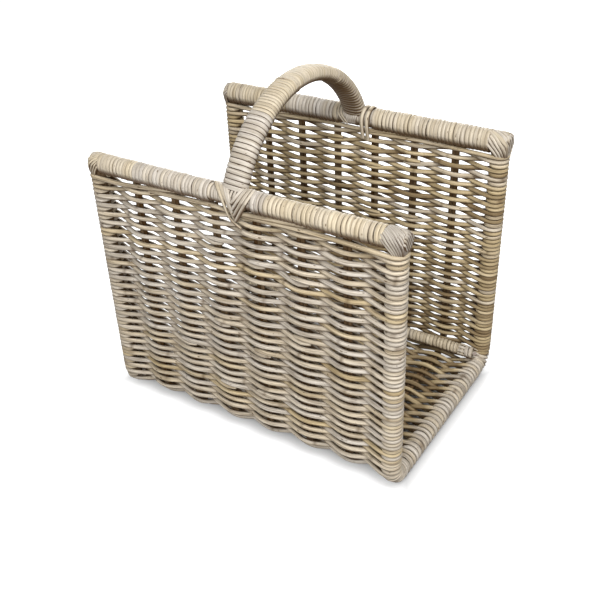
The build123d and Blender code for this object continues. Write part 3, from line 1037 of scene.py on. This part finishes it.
# Wraps
def nodes_like(start):
    """Names of the frame's nodes that start so."""
    return sorted(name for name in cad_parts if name.startswith(start))


def wrap_reach(side):
    """Outer radius of the wound top rail, from its winding's box."""
    low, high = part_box(f"{side}_top_rail_winding_1")
    return (high[2] - low[2]) / 2


def arch():
    """Radius and centre height of the handle's arc through both rail axes."""
    rise = HANDLE_TOP - POLE_RADIUS - FRONT_RAIL[1]
    radius = (HALF_SPREAD ** 2 + rise ** 2) / (2 * rise)
    return radius, FRONT_RAIL[1] + rise - radius


# Steps in one turn of a winding
TURN_STEPS = 20
# How much the turns on a rail differ in place, width, tint and reach, and their mean tilt and its spread
RAIL_JOG = 0.0005
RAIL_BROAD = 0.09
RAIL_TONE = 0.14
RAIL_SWELL = 0.00016
RAIL_TILT = (0.10, 0.07)


def rail_wrap(rail, start, end, peel, lift, tint, chance):
    """One length of peel wound round a rail between two places along it."""
    y, z, core = rail
    strand = Strand(tint)
    turns = max(1, round((end - start) / peel.wrap_pitch))
    jog = uneven(chance, turns, 0.0, RAIL_JOG)
    broad = uneven(chance, turns, 1.0, RAIL_BROAD)
    tone = uneven(chance, turns, tint, RAIL_TONE)
    swell = uneven(chance, turns, 0.0, RAIL_SWELL)
    tilt = uneven(chance, turns, *RAIL_TILT)
    total = turns * TURN_STEPS
    for index in range(total + 1):
        turn, step = divmod(index, TURN_STEPS)
        part = step / TURN_STEPS
        angle = math.tau * part
        x = start + (end - start) * index / total + between(jog, turn, part)
        reach = core + peel.wrap_thickness / 2 + lift + between(swell, turn, part)
        radial = Vector((0, math.sin(angle), -math.cos(angle)))
        face = radial + Vector((between(tilt, turn, part), 0, 0))
        girth = peel.wrap_width / 2 * between(broad, turn, part)
        own = limited(between(tone, turn, part))
        strand.add(Vector((x, y, z)) + radial * reach, girth, face.normalized(), own)
    return strand


# Lengths of peel on the top rails: start and end along x, and tint
RAIL_LENGTHS = {
    "front": ((-0.1815, -0.130, 0.7), (-0.130, -0.029, 0.12), (0.026, 0.042, 0.1), (0.042, 0.1755, 0.9)),
    "back": ((-0.190, -0.098, 0.85), (-0.098, -0.028, 0.2), (-0.028, -0.022, 0.7), (0.026, 0.1755, 0.7)),
}
# Lengths under the lashings, tight on the rail
HIDDEN_LENGTHS = ((-RAIL_END + 0.004, -0.170), (-0.031, 0.028), (0.170, RAIL_END - 0.004))
HIDDEN_TINT = 0.2
# The wrap of a bottom rail: how far it reaches along x, its lift off the rail and its tint
BOTTOM_REACH = HOOP_X - 0.0145
BOTTOM_LIFT = 0.0018
BOTTOM_TINT = 0.95


class RACK_OT_wrap_rails(bpy.types.Operator):
    """Winds peel round the top rails and the bottom rails"""

    bl_idname = "rack.wrap_rails"
    bl_label = "Wrap rails"

    def execute(self, context):
        peel = context.scene.rack_peel
        chance = random.Random(peel.seed)
        section = rail_peel(peel)
        for side, rail in (("front", FRONT_RAIL), ("back", BACK_RAIL)):
            lift = wrap_reach(side) - rail[2] - peel.wrap_thickness
            strands = [rail_wrap(rail, a, b, peel, lift, tint, chance) for a, b, tint in RAIL_LENGTHS[side]]
            strands += [rail_wrap(rail, a, b, peel, 0.0, HIDDEN_TINT, chance) for a, b in HIDDEN_LENGTHS]
            piece = build_strands(f"{side}_rail_wrap", strands, "peel_rattan", section, peel.seed)
            keep(piece, "peel_wrap", *nodes_like(f"{side}_top_rail_winding_"))
            bottom = BOTTOM_RAILS[side]
            strands = [rail_wrap(bottom, -BOTTOM_REACH, BOTTOM_REACH, peel, BOTTOM_LIFT, BOTTOM_TINT, chance)]
            piece = build_strands(f"{side}_bottom_rail_wrap", strands, "peel_rattan", section, peel.seed)
            keep(piece, "peel_wrap", *nodes_like(f"{side}_bottom_rail_winding_"))
        return {"FINISHED"}


# Lengths of peel on the handle: first and last angle on its arc in degrees, distance between turns,
# size of the turns, tint, width of the peel and how much painted shade darkens the inner side of the arc
HandleLength = namedtuple("HandleLength", "start end pitch size tint width stain")
HANDLE_LENGTHS = (
    HandleLength(-64.5, -30.3, 0.0052, 1.00, 0.10, 0.0053, 0.0),
    HandleLength(-32.0, -8.6, 0.0038, 0.99, 0.85, 0.0040, 0.0),
    HandleLength(-10.6, -7.6, 0.0050, 1.03, 0.80, 0.0040, 0.0),
    HandleLength(-9.8, 30.0, 0.0036, 0.98, 0.75, 0.0039, 0.0),
    HandleLength(28.5, 64.0, 0.0052, 1.00, 0.65, 0.0053, 0.75),
)
# How much the turns on the handle differ in place, as a share of the pitch, and in tint
HANDLE_JOG = 0.0012
HANDLE_TONE = 0.09
# Powers that flatten the turns' sides, top and underside
SIDE_POWER = 0.72
TOP_POWER = 0.86


def handle_wrap(length, half_width, half_depth, chance):
    """One length of peel wound round the handle, whose half width and half depth are given."""
    radius, centre = arch()
    half_width *= length.size
    half_depth *= length.size
    strand = Strand(length.tint)
    first, last = math.radians(length.start), math.radians(length.end)
    turns = max(1, round((last - first) * radius / length.pitch))
    jog = uneven(chance, turns, 0.0, HANDLE_JOG)
    tone = uneven(chance, turns, length.tint, HANDLE_TONE)
    total = turns * TURN_STEPS
    for index in range(total + 1):
        turn, step = divmod(index, TURN_STEPS)
        part = step / TURN_STEPS
        place = first + (last - first) * index / total + between(jog, turn, part) * length.pitch / radius
        angle = math.tau * part
        across, lift = math.cos(angle), math.sin(angle)
        flat_across = math.copysign(abs(across) ** SIDE_POWER, across)
        flat_lift = math.copysign(abs(lift) ** TOP_POWER, lift)
        way_out = Vector((0, math.sin(place), math.cos(place)))
        point = Vector((0, 0, centre)) + way_out * (radius + half_depth * flat_lift)
        point.x = half_width * flat_across
        face = Vector((across * half_depth, 0, 0)) + way_out * (lift * half_width)
        own = limited(between(tone, turn, part))
        # The mark darkens the inner side of the arc: painted shade
        strand.add(point, length.width / 2, face.normalized(), own, length.stain * (1 - lift) / 2)
    return strand


class RACK_OT_wrap_handle(bpy.types.Operator):
    """Winds peel round both poles of the handle"""

    bl_idname = "rack.wrap_handle"
    bl_label = "Wrap handle"

    def execute(self, context):
        peel = context.scene.rack_peel
        chance = random.Random(peel.seed + 3)
        low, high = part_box("handle_winding_2")
        half_width = (high[0] - low[0]) / 2 - peel.wrap_thickness / 2
        half_depth = half_width - POLE_RADIUS
        strands = [handle_wrap(length, half_width, half_depth, chance) for length in HANDLE_LENGTHS]
        piece = build_strands("handle_wrap", strands, "peel_rattan", HANDLE_PEEL, peel.seed)
        keep(piece, "peel_wrap", *nodes_like("handle_winding_"))
        return {"FINISHED"}


# Lashings
# Steps of a strap over its rail, and from there down to its post
LASH_STEPS = 12
FOOT_STEPS = 6
# How far a strap moves along its rail for each radian round it, and what is added on the rail's top
LASH_SLOPE = 0.84
LASH_TOP_SLOPE = 1.04
# Over this last length of a rail its straps draw in by this share of their reach
DRAW_LENGTH = 0.004
DRAW_SHARE = 0.12
# Angle in degrees at which a strap comes down on its post: of the innermost strap, what the outermost
# one adds, and what straps add that start beyond the rail's end
FOOT_TURN = 8
FOOT_FAN = 62
FOOT_BEYOND = 45
# Height of the straps' feet above the weave
FOOT_LIFT = 0.001
# Angles from the rail's top at which straps start, on the viewer's side and behind, and the number behind
NEAR_START = math.radians(-50)
FAR_START = math.radians(42)
FAR_COUNT = 7
# Distance of the first strap from the inner bound, and how much straps differ in place and in tint
STRAP_FIRST = 0.002
STRAP_JOG = 0.0003
STRAP_TONE = 0.15
# In girths: how far straps stay inside the outer bound, how far they stand off the post's axis beyond its
# radius, and how far they bulge on the way down, along the rail and across it
STRAP_INSET = 1.2
STRAP_OFF_POST = 0.9
STRAP_BULGE = (0.8, 0.4)


def lash_advance(over):
    """How far a strap still moves along its rail, in rail radii, from an angle off the top to the side."""
    left = math.pi / 2 - over
    return LASH_SLOPE * left + LASH_TOP_SLOPE * (left / 2 - math.sin(2 * over) / 4)


class Corner:
    """How one rail end is lashed: where straps begin and stop along x, their number, spacing and looks."""

    def __init__(self, inner, outer, count, spread, width, tint, finish):
        self.inner = inner
        self.outer = outer
        self.count = count
        self.spread = spread
        self.girth = width / 2
        self.tint = tint
        self.finish = finish


def rack_corners(peel):
    """The lashings of the four rail ends."""
    count, pitch, width = peel.corner_strands, peel.lash_pitch, peel.lash_width
    near = HOOP_X - 0.0135
    return {
        "front_left": Corner(HOOP_X - 0.0085, RAIL_END - 0.003, count, pitch, width, 0.75, "peel_rattan"),
        "front_right": Corner(near, RAIL_END, count, pitch, width, 0.15, "lash_rattan"),
        "back_left": Corner(RAIL_END - 0.0125, RAIL_END - 0.0025, 7, pitch * 0.9, width, 0.3, "peel_rattan"),
        "back_right": Corner(near, RAIL_END, 9, pitch * 1.4, width * 1.45, 0.4, "peel_rattan"),
    }


def corner_strap(rail, way, side, corner, level, first_over, reach, tint):
    """A slanted strand over a rail's end: round the rail, over its end and down to the post."""
    y, z, _ = rail
    girth = corner.girth
    strand = Strand(tint)
    inner = corner.inner
    outer = corner.outer - girth * STRAP_INSET
    places = []
    for index in range(LASH_STEPS + 1):
        over = first_over + (math.pi / 2 - first_over) * index / LASH_STEPS
        x = level - reach * lash_advance(over)
        if inner <= x <= outer:
            places.append((x, over))
    if not places:
        return None
    beyond = limited((level - outer) / (reach * lash_advance(first_over)))
    fan = (min(level, outer) - inner) / (outer - inner)
    turn = math.radians(FOOT_TURN + FOOT_FAN * fan + FOOT_BEYOND * beyond)
    post = HOOP_RADIUS + girth * STRAP_OFF_POST
    foot = Vector((HOOP_X + post * math.sin(turn), post * math.cos(turn), PANEL_TOP + FOOT_LIFT - z))
    for x, over in places:
        drawn = max(0.0, (x - outer + DRAW_LENGTH) / DRAW_LENGTH) ** 2
        radial = Vector((0, side * math.sin(over), math.cos(over)))
        radius = reach * (1.0 - DRAW_SHARE * drawn)
        strand.add(Vector((way * x, y, z)) + radial * radius, girth, radial)
    last = strand.points[-1] - Vector((0, y, z))
    start = Vector((abs(last.x), side * last.y, last.z))
    first_face = strand.faces[-1]
    last_face = Vector((way * math.sin(turn), side * math.cos(turn), 0))
    for index in range(1, FOOT_STEPS + 1):
        share = index / FOOT_STEPS
        along, across = (girth * bulge * math.sin(math.pi * share) for bulge in STRAP_BULGE)
        point = start.lerp(foot, share)
        x = way * min(point.x + along, outer)
        place = Vector((x, y + side * (point.y + across), z + point.z))
        strand.add(place, girth, first_face.lerp(last_face, share).normalized())
    return strand


def corner_straps(rail, way, corner, reach, chance):
    """All straps of one corner: a full set on the viewer's side and a shorter one behind."""
    strands = []
    for side, first_over, count in ((-1, NEAR_START, corner.count), (1, FAR_START, FAR_COUNT)):
        for index in range(count):
            level = corner.inner + STRAP_FIRST + index * corner.spread + chance.gauss(0, STRAP_JOG)
            own = limited(chance.gauss(corner.tint, STRAP_TONE))
            strand = corner_strap(rail, way, side, corner, level, first_over, reach, own)
            if strand:
                strands.append(strand)
    return strands


# Straps that close a rail's end: their lean, and in girths their distance inside the outer bound and from
# one another
END_LEAN = math.radians(28)
END_INSET = 0.95
END_SPACING = 1.9
END_STEPS = 4
# They face along the rail within this share of its reach, and beyond it outwards with a tilt along it
END_FLAT = 0.9
END_TILT = 0.5
# Path of a strap over a rail's end: distance back from the end and share of the way across it
END_PATH = (
    (0.0080, 1.0), (0.0030, 1.0), (0.0008, 0.92), (0.0, 0.70),
    (0.0, 0.0), (0.0, -0.70), (0.0008, -0.92), (0.0040, -1.0),
)


def end_straps(rail, way, corner, reach, chance):
    """Strands that close a rail's end, slanted from its front edge down to its back edge."""
    y, z, _ = rail
    girth = corner.girth
    flat = corner.outer - girth * END_INSET
    down = Vector((0, math.sin(END_LEAN), -math.cos(END_LEAN)))
    beside = Vector((0, math.cos(END_LEAN), math.sin(END_LEAN)))
    count = int(2 * reach / (girth * END_SPACING))
    strands = []
    for index in range(count):
        aside = (2 * (index + 0.5) / count - 1) * reach
        half = math.sqrt(reach ** 2 - aside ** 2)
        strand = Strand(limited(chance.gauss(corner.tint, STRAP_TONE)))
        knots = []
        for back, share in END_PATH:
            knots.append(Vector((way * (flat - back), y, z)) + beside * aside - down * (half * share))
        for point in curve_through(knots, END_STEPS):
            across = Vector((0, point.y - y, point.z - z)) / reach
            tilted = across + Vector((way * END_TILT, 0, 0))
            face = Vector((way, 0, 0)) if across.length < END_FLAT else tilted
            strand.add(point, girth, face.normalized())
        strands.append(strand)
    return strands


# Strands from a bottom rail's end round the bend of its hoop: their places side by side, the lean and
# the distance between them, where they start before the hoop, and their way round it as an angle in
# degrees and a share of the full distance
LOOP_PLACES = (-1.5, -0.5, 0.5, 1.5)
LOOP_LEAN = math.radians(36)
LOOP_PITCH = 0.0046
LOOP_STARTS = (0.021, 0.015)
LOOP_PATH = ((20, 1), (55, 1), (90, 1), (125, 0.98), (160, 0.94), (195, 0.86), (230, 0.7))
LOOP_TINTS = (0.1, 0.6)
LOOP_STEPS = 6
# Gap between these strands and the weave on the hoop, and their lift off the bottom rail
LOOP_GAP = 0.0006
LOOP_LIFT = 0.0044
# Share of the way from the rail to the hoop at which they cross over, their width against the other
# straps and their least height above the ground, in girths of those
LOOP_CROSSING = 0.55
LOOP_WIDTH = 1.25
LOOP_GROUND = 1.45


def bottom_loops(weave, side, way, girth, chance):
    """Strands that run off a bottom rail's end and round the bend of its hoop."""
    y, z, core = BOTTOM_RAILS[side]
    middle = math.copysign(HALF_SPREAD - weave.bend_radius, y)
    row = bend_row(weave, middle, math.radians(45 if side == "front" else 135), 0.0)
    run, outward = row.run, row.outward
    hook = HOOP_RADIUS + weave.strand_thickness / 2 + LOOP_GAP
    strands = []
    for place in LOOP_PLACES:
        aside, inward = math.sin(LOOP_LEAN * place), math.cos(LOOP_LEAN * place)
        radial = Vector((0, run[0] * aside - outward[0] * inward, run[1] * aside - outward[1] * inward))
        on_top = Vector((0, y, z)) + radial * (core + LOOP_LIFT)
        knots = [Vector((way * (HOOP_X - back), on_top.y, on_top.z)) for back in LOOP_STARTS]
        drift = LOOP_PITCH * place
        knots.append(knots[-1].lerp(row.point(way * HOOP_X, -hook, drift), LOOP_CROSSING))
        for degrees, press in LOOP_PATH:
            turn = math.radians(degrees)
            near = hook * press
            knots.append(row.point(way * (HOOP_X + near * math.sin(turn)), -near * math.cos(turn), drift))
        strand = Strand(chance.uniform(*LOOP_TINTS))
        for point in curve_through(knots, LOOP_STEPS):
            point.z = max(point.z, girth * LOOP_GROUND)
            strand.add(point, girth * LOOP_WIDTH, radial)
        strands.append(strand)
    return strands


def on_rail(rail, x, degrees, reach):
    """A point on a rail's surface, at an angle from its top towards the viewer's side."""
    y, z, _ = rail
    angle = math.radians(degrees)
    return Vector((x, y - reach * math.sin(angle), z + reach * math.cos(angle)))


# Steps between two points of a strap on a rail, and a tucked strap's angles under the rail
STRAP_STEPS = 8
TUCK_ANGLES = (-170, -140, -110)
# Half the length of a ring as a share of its strap, and its swell
STRAP_RING_HALF = 0.03
STRAP_RING_SWELL = 0.12


def rail_strand(rail, points, girth, tint, rings_and_shade=(), tucked=None):
    """A strand through points, facing away from a rail's axis, with rings at some shares of its length.

    With a reach to tuck it in at, it starts under the rail and comes up round its far side.
    """
    y, z, _ = rail
    strand = Strand(tint)
    if tucked:
        x = points[0].x
        points = [on_rail(rail, x, at, tucked) for at in TUCK_ANGLES] + list(points)
    line = curve_through(points, STRAP_STEPS)
    for index, point in enumerate(line):
        share = index / (len(line) - 1)
        mark = max([0.0, *(1.0 - abs(share - ring) / STRAP_RING_HALF for ring in rings_and_shade)])
        face = Vector((0, point.y - y, point.z - z)).normalized()
        strand.add(point, girth * (1 + STRAP_RING_SWELL * mark), face, mark=mark)
    return strand


def in_view(point):
    """Where the camera sees a point, across and up, without perspective."""
    stage = bpy.context.scene.rack_stage
    across = point.x * math.cos(stage.azimuth) + point.y * math.sin(stage.azimuth)
    near = point.x * math.sin(stage.azimuth) - point.y * math.cos(stage.azimuth)
    return across, point.z * math.cos(stage.elevation) - near * math.sin(stage.elevation)


def straight_x(start, tip, point):
    """The x at which a point with that height and depth lies on the camera's line from start to tip."""
    from_across, from_up = in_view(start)
    to_across, to_up = in_view(tip)
    miss = []
    for x in (0.0, 1.0):
        across, up = in_view(Vector((x, point.y, point.z)))
        miss.append((across - from_across) * (to_up - from_up) - (up - from_up) * (to_across - from_across))
    return miss[0] / (miss[0] - miss[1])


# Arms of the V on the handle's front foot: x at the rail's top, x and height of the tip, tint
V_ARMS = (
    (-0.0250, 0.0003, 0.2972, 0.75),
    (-0.0202, 0.0056, 0.2976, 0.45),
    (-0.0158, 0.0040, 0.3055, 0.30),
    (-0.0116, 0.0022, 0.3125, 0.25),
    (0.0232, 0.0086, 0.2962, 0.45),
    (0.0190, 0.0072, 0.3025, 0.25),
    (0.0148, 0.0058, 0.3090, 0.20),
    (0.0108, 0.0045, 0.3150, 0.15),
)
# Angles of an arm behind the rail's top and over it, its width against the other straps, and how far its
# axis lies below the wrap's outer face in girths, for the arms from the left and from the right
V_STARTS = (-65, -25)
V_ANGLES = (0, 25, 50, 75, 95)
V_WIDTH = 1.42
V_LEFT_PRESS = 0.56
V_RIGHT_PRESS = 0.46
V_TUCK = 0.7
V_TONE = 0.1
# An arm whose tip is lower than its knee by more than this goes on to the tip
V_DROP = 0.004
# The outermost left arm goes on to this x, distance before the rail's axis and height
V_TAIL = (0.0127, 0.0085, 0.2865)
# Uprights between the arms: their x, their angles over the rail and their tint
FRONT_UPRIGHTS = [0.0041 * index - 0.0100 for index in range(5)]
FRONT_ANGLES = (-30, 20, 60, 95)
UPRIGHT_TINT = 0.15


def front_handle_strands(reach, girth, chance):
    """Strands that lash the handle's front foot: two arms of a V and short uprights between them."""
    rail = FRONT_RAIL
    strands = []
    for x in FRONT_UPRIGHTS:
        places = [on_rail(rail, x, at, reach - girth) for at in FRONT_ANGLES]
        strands.append(rail_strand(rail, places, girth, UPRIGHT_TINT))
    girth *= V_WIDTH
    for start, tip, low, tint in V_ARMS:
        lift = reach - girth * (V_LEFT_PRESS if start < 0 else V_RIGHT_PRESS)
        knee = on_rail(rail, 0, V_ANGLES[-1], lift)
        points = [on_rail(rail, start, degrees, lift) for degrees in V_STARTS]
        first = points[-1]
        last = Vector((tip, knee.y, low))
        for degrees in V_ANGLES:
            at = on_rail(rail, 0, degrees, lift)
            at.x = straight_x(first, last, at)
            points.append(at)
        if knee.z - low > V_DROP:
            points.append(last)
        if start == V_ARMS[0][0]:
            points.append(Vector((V_TAIL[0], rail[0] - V_TAIL[1], V_TAIL[2])))
        own = limited(tint + chance.uniform(-V_TONE, V_TONE))
        strands.append(rail_strand(rail, points, girth, own, tucked=reach - girth * V_TUCK))
    return strands


# Uprights on the handle's back foot: their x, how far they draw together and their tint
BACK_UPRIGHTS = [0.0036 * index - 0.0105 for index in range(6)]
BACK_DRAW = 0.55
BACK_UPRIGHT_TINT = 0.1
# The curved pair: x where each starts, then its angles over the rail with the way along x, and its tint
CURVED_STARTS = (-0.0205, -0.0163)
CURVED_PATH = ((-60, 0.0), (10, 0.0), (70, 0.002), (125, 0.010))
CURVED_TINT = 0.7
# The hanging ends: x, height of the tip and place of a ring, then the angles over the rail with the
# distance off it in girths, their width against the other straps and their range of tints
HANGING_ENDS = ((0.0155, 0.2965, 0.62), (0.0225, 0.2945, 0.66))
HANGING_PATH = ((-60, -0.6), (0, 0.0), (50, 0.4), (92, 0.8))
HANGING_WIDTH = 1.75
HANGING_TINTS = (0.6, 0.8)


def back_handle_strands(reach, girth, chance):
    """Strands that lash the handle's back foot: uprights, a curved pair and two hanging ends."""
    rail = BACK_RAIL
    strands = []
    for x in BACK_UPRIGHTS:
        drawn = x * BACK_DRAW
        path = ((x, -20), (x, 30), ((x + drawn) / 2, 75), (drawn, 115))
        points = [on_rail(rail, at, turn, reach - girth) for at, turn in path]
        strands.append(rail_strand(rail, points, girth, BACK_UPRIGHT_TINT))
    for start in CURVED_STARTS:
        points = [on_rail(rail, start + along, turn, reach - girth * 0.3) for turn, along in CURVED_PATH]
        strands.append(rail_strand(rail, points, girth, CURVED_TINT, tucked=reach - girth * 0.8))
    for x, low, ring in HANGING_ENDS:
        points = [on_rail(rail, x, turn, reach + girth * out) for turn, out in HANGING_PATH]
        points.append(Vector((x + 0.0015, rail[0] - reach - girth * 0.5, low)))
        own = chance.uniform(*HANGING_TINTS)
        strands.append(rail_strand(rail, points, girth * HANGING_WIDTH, own, (ring,), reach - girth * 1.7))
    return strands


# The outermost turns on a bottom rail: the x at which they end, and their tint
TURNS_END = HOOP_X - 0.003
TURNS_TINT = 0.3


class RACK_OT_lash(bpy.types.Operator):
    """Lashes the rail ends to the posts, the handle to the rails and the bottom rails to the hoops"""

    bl_idname = "rack.lash"
    bl_label = "Lash corners and handle"

    def execute(self, context):
        weave = context.scene.rack_weave
        peel = context.scene.rack_peel
        chance = random.Random(peel.seed + 5)
        girth = peel.lash_width / 2
        corners = rack_corners(peel)
        for side, rail in (("front", FRONT_RAIL), ("back", BACK_RAIL)):
            for end, way in (("left", -1), ("right", 1)):
                corner = f"{side}_{end}"
                shape = corners[corner]
                reach = wrap_reach(side) - shape.girth * 0.8
                strands = corner_straps(rail, way, shape, reach, chance)
                strands += end_straps(rail, way, shape, reach - shape.girth, chance)
                piece = build_strands(
                    f"{corner}_corner_straps", strands, shape.finish, CORNER_STRAP, peel.seed
                )
                keep(piece, "lashing_peel", f"{corner}_corner_lashing")
                ends = sorted((way * BOTTOM_REACH, way * TURNS_END))
                strands = [rail_wrap(BOTTOM_RAILS[side], *ends, peel, BOTTOM_LIFT, TURNS_TINT, chance)]
                strands += bottom_loops(weave, side, way, girth, chance)
                piece = build_strands(
                    f"{corner}_bottom_straps", strands, "peel_rattan", BOTTOM_STRAP, peel.seed
                )
                keep(piece, "lashing_peel", f"{corner}_bottom_rail_lashing")
            make = front_handle_strands if side == "front" else back_handle_strands
            strands = make(wrap_reach(side), girth, chance)
            piece = build_strands(f"{side}_handle_straps", strands, "peel_rattan", HANDLE_STRAP, peel.seed)
            keep(piece, "lashing_peel", f"{side}_handle_lashing")
        return {"FINISHED"}


# Rounding at a pole's end: its length, and the share of the radius that is left
ROUND_LENGTH = 0.0012
ROUND_SHARE = 0.9
POLE_TINT = 0.4
# How far the poles reach to the left and to the right
TOP_ENDS = (RAIL_END - 0.0070, RAIL_END - 0.0035)
BOTTOM_ENDS = (HOOP_X - 0.002, HOOP_X - 0.002)


def rounded_pole(rail, left, right):
    """A rail's pole with rounded ends, as far as it reaches to the left and to the right."""
    y, z, core = rail
    strand = Strand(POLE_TINT)
    ends = (-left, ROUND_LENGTH - left, right - ROUND_LENGTH, right)
    for x, share in zip(ends, (ROUND_SHARE, 1.0, 1.0, ROUND_SHARE)):
        strand.add((x, y, z), core * share, (0, 0, 1))
    return strand


class RACK_OT_poles(bpy.types.Operator):
    """Rounds the rails' ends and gives the hoops, poles and nails their finish"""

    bl_idname = "rack.poles"
    bl_label = "Finish poles and nails"

    def execute(self, context):
        for name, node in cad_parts.items():
            if name.endswith(("_hoop", "_rail", "_pole", "_nails")):
                finish = finish_of("nail_wire" if name.endswith("_nails") else "pole_rattan")
                node.data.materials.clear()
                node.data.materials.append(finish)
        for side, top in (("front", FRONT_RAIL), ("back", BACK_RAIL)):
            strands = [rounded_pole(top, *TOP_ENDS)]
            piece = build_strands(f"{side}_rail_core", strands, "lash_rattan", TOP_POLE)
            keep(piece, "bent_pole", f"{side}_top_rail")
            strands = [rounded_pole(BOTTOM_RAILS[side], *BOTTOM_ENDS)]
            piece = build_strands(f"{side}_bottom_core", strands, "lash_rattan", BOTTOM_POLE)
            keep(piece, "bent_pole", f"{side}_bottom_rail")
        return {"FINISHED"}


# Stage
WHITE = (1.0, 1.0, 1.0, 1.0)
FLOOR_HALF = 6.0
# Bounds between which the floor turns white beside and before the rack, in metres from its box
GLOW_BESIDE = (-0.012, 0.025)
GLOW_BEFORE = (-0.05, 0.014)
# Lights: name, the setting that holds the power, place and size
LIGHTS = (
    ("key_light", "key_power", (0.64, -0.46, 1.50), 0.8),
    ("front_light", "front_power", (0.62, -1.38, 0.95), 1.0),
    ("back_light", "back_power", (-0.70, 1.55, 0.60), 1.0),
)
# What the lights point at
RACK_MIDDLE = Vector((0, 0, 0.17))
# Width of the camera's sensor in millimetres
SENSOR = 36.0


def in_sight(tree):
    """1 for rays that see the background: from the camera, off a gloss and through glass."""
    rays = add_node(tree, "ShaderNodeLightPath")
    seen = maths(tree, "MAXIMUM", rays.outputs["Is Camera Ray"], rays.outputs["Is Glossy Ray"])
    return maths(tree, "MAXIMUM", seen, rays.outputs["Is Transmission Ray"])


def floor_material(colour):
    """Pale floor that the camera sees as white away from the shadow."""
    material, tree, surface = shader("pale_floor", 0.9, 0.1)
    surface.inputs["Base Color"].default_value = (*colour, 1.0)
    surface.inputs["Emission Color"].default_value = WHITE
    place = parts_of(tree, own_space(tree, "Object"))
    beside = maths(tree, "SUBTRACT", maths(tree, "ABSOLUTE", place["X"], 0.0), CAD_BOX[1][0])
    before = maths(tree, "SUBTRACT", maths(tree, "ABSOLUTE", place["Y"], 0.0), CAD_BOX[1][1])
    glow = maths(tree, "MAXIMUM", growth(tree, beside, *GLOW_BESIDE), growth(tree, before, *GLOW_BEFORE))
    link(tree, maths(tree, "MULTIPLY", in_sight(tree), glow), surface.inputs["Emission Strength"])
    return material


class RACK_OT_stage(bpy.types.Operator):
    """Sets the floor, the lights and the camera"""

    bl_idname = "rack.stage"
    bl_label = "Set stage"

    def execute(self, context):
        stage = context.scene.rack_stage
        mesh = bpy.data.meshes.new("stage_floor")
        corners = [(x * FLOOR_HALF, y * FLOOR_HALF, 0) for x, y in ((-1, -1), (1, -1), (1, 1), (-1, 1))]
        mesh.from_pydata(corners, [], [(0, 1, 2, 3)])
        floor = bpy.data.objects.new("stage_floor", mesh)
        mesh.materials.append(floor_material(tuple(stage.floor_colour)))
        context.scene.collection.objects.link(floor)
        for name, power, place, size in LIGHTS:
            self.light(context, name, getattr(stage, power), place, size)
        self.surroundings(context, stage)
        self.camera(context, stage)
        context.scene.view_settings.view_transform = "Standard"
        return {"FINISHED"}

    def light(self, context, name, power, place, size):
        """A soft square light that points at the middle of the rack."""
        lamp = bpy.data.lights.new(name, "AREA")
        lamp.energy = power
        lamp.size = size
        holder = bpy.data.objects.new(name, lamp)
        holder.location = place
        holder.rotation_euler = (RACK_MIDDLE - Vector(place)).to_track_quat("-Z", "Y").to_euler()
        context.scene.collection.objects.link(holder)

    def surroundings(self, context, stage):
        """A plain surround, white where it is seen and a soft fill for the rest."""
        world = bpy.data.worlds.new("surround")
        world.use_nodes = True
        tree = world.node_tree
        back = tree.nodes["Background"]
        back.inputs["Color"].default_value = WHITE
        lit = maths(tree, "MULTIPLY", in_sight(tree), 1.0 - stage.fill_level)
        link(tree, maths(tree, "ADD", lit, stage.fill_level), back.inputs["Strength"])
        context.scene.world = world

    def camera(self, context, stage):
        """The camera at the photograph's viewing angle."""
        lens = bpy.data.cameras.new("view_camera")
        lens.lens = stage.lens
        lens.sensor_width = SENSOR
        holder = bpy.data.objects.new("view_camera", lens)
        turn, tilt, lean = stage.azimuth, stage.elevation, stage.roll
        back = Vector((math.sin(turn) * math.cos(tilt), -math.cos(turn) * math.cos(tilt), math.sin(tilt)))
        right = Vector((math.cos(turn), math.sin(turn), 0))
        up = back.cross(right)
        leaned_right = right * math.cos(lean) + up * math.sin(lean)
        leaned_up = up * math.cos(lean) - right * math.sin(lean)
        axes = Matrix((leaned_right, leaned_up, back)).transposed()
        holder.matrix_world = Matrix.Translation(Vector(stage.camera_place)) @ axes.to_4x4()
        context.scene.collection.objects.link(holder)
        context.scene.camera = holder


class RACK_PT_panel(bpy.types.Panel):
    """Lists the rack's steps"""

    bl_idname = "RACK_PT_panel"
    bl_label = "Magazine rack"
    bl_space_type = "VIEW_3D"
    bl_region_type = "UI"
    bl_category = "Rack"

    def draw(self, context):
        for step in STEPS:
            self.layout.operator(step.bl_idname)


STEPS = (
    RACK_OT_poles,
    RACK_OT_stakes,
    RACK_OT_weave,
    RACK_OT_wrap_rails,
    RACK_OT_wrap_handle,
    RACK_OT_lash,
    RACK_OT_stage,
)
SETTINGS = {
    "rack_weave": RackWeaveSettings,
    "rack_peel": RackPeelSettings,
    "rack_colours": RackColourSettings,
    "rack_stage": RackStageSettings,
}


def register():
    """Registers the settings, the steps and the panel."""
    for name, group in SETTINGS.items():
        bpy.utils.register_class(group)
        setattr(bpy.types.Scene, name, bpy.props.PointerProperty(type=group))
    for step in STEPS:
        bpy.utils.register_class(step)
    bpy.utils.register_class(RACK_PT_panel)


def unregister():
    """Takes them out again."""
    bpy.utils.unregister_class(RACK_PT_panel)
    for step in reversed(STEPS):
        bpy.utils.unregister_class(step)
    for name, group in SETTINGS.items():
        delattr(bpy.types.Scene, name)
        bpy.utils.unregister_class(group)


def main():
    """Builds the whole rack and its stage."""
    register()
    bpy.ops.rack.poles()
    bpy.ops.rack.stakes()
    bpy.ops.rack.weave()
    bpy.ops.rack.wrap_rails()
    bpy.ops.rack.wrap_handle()
    bpy.ops.rack.lash()
    bpy.ops.rack.stage()


if __name__ == "__main__":
    main()
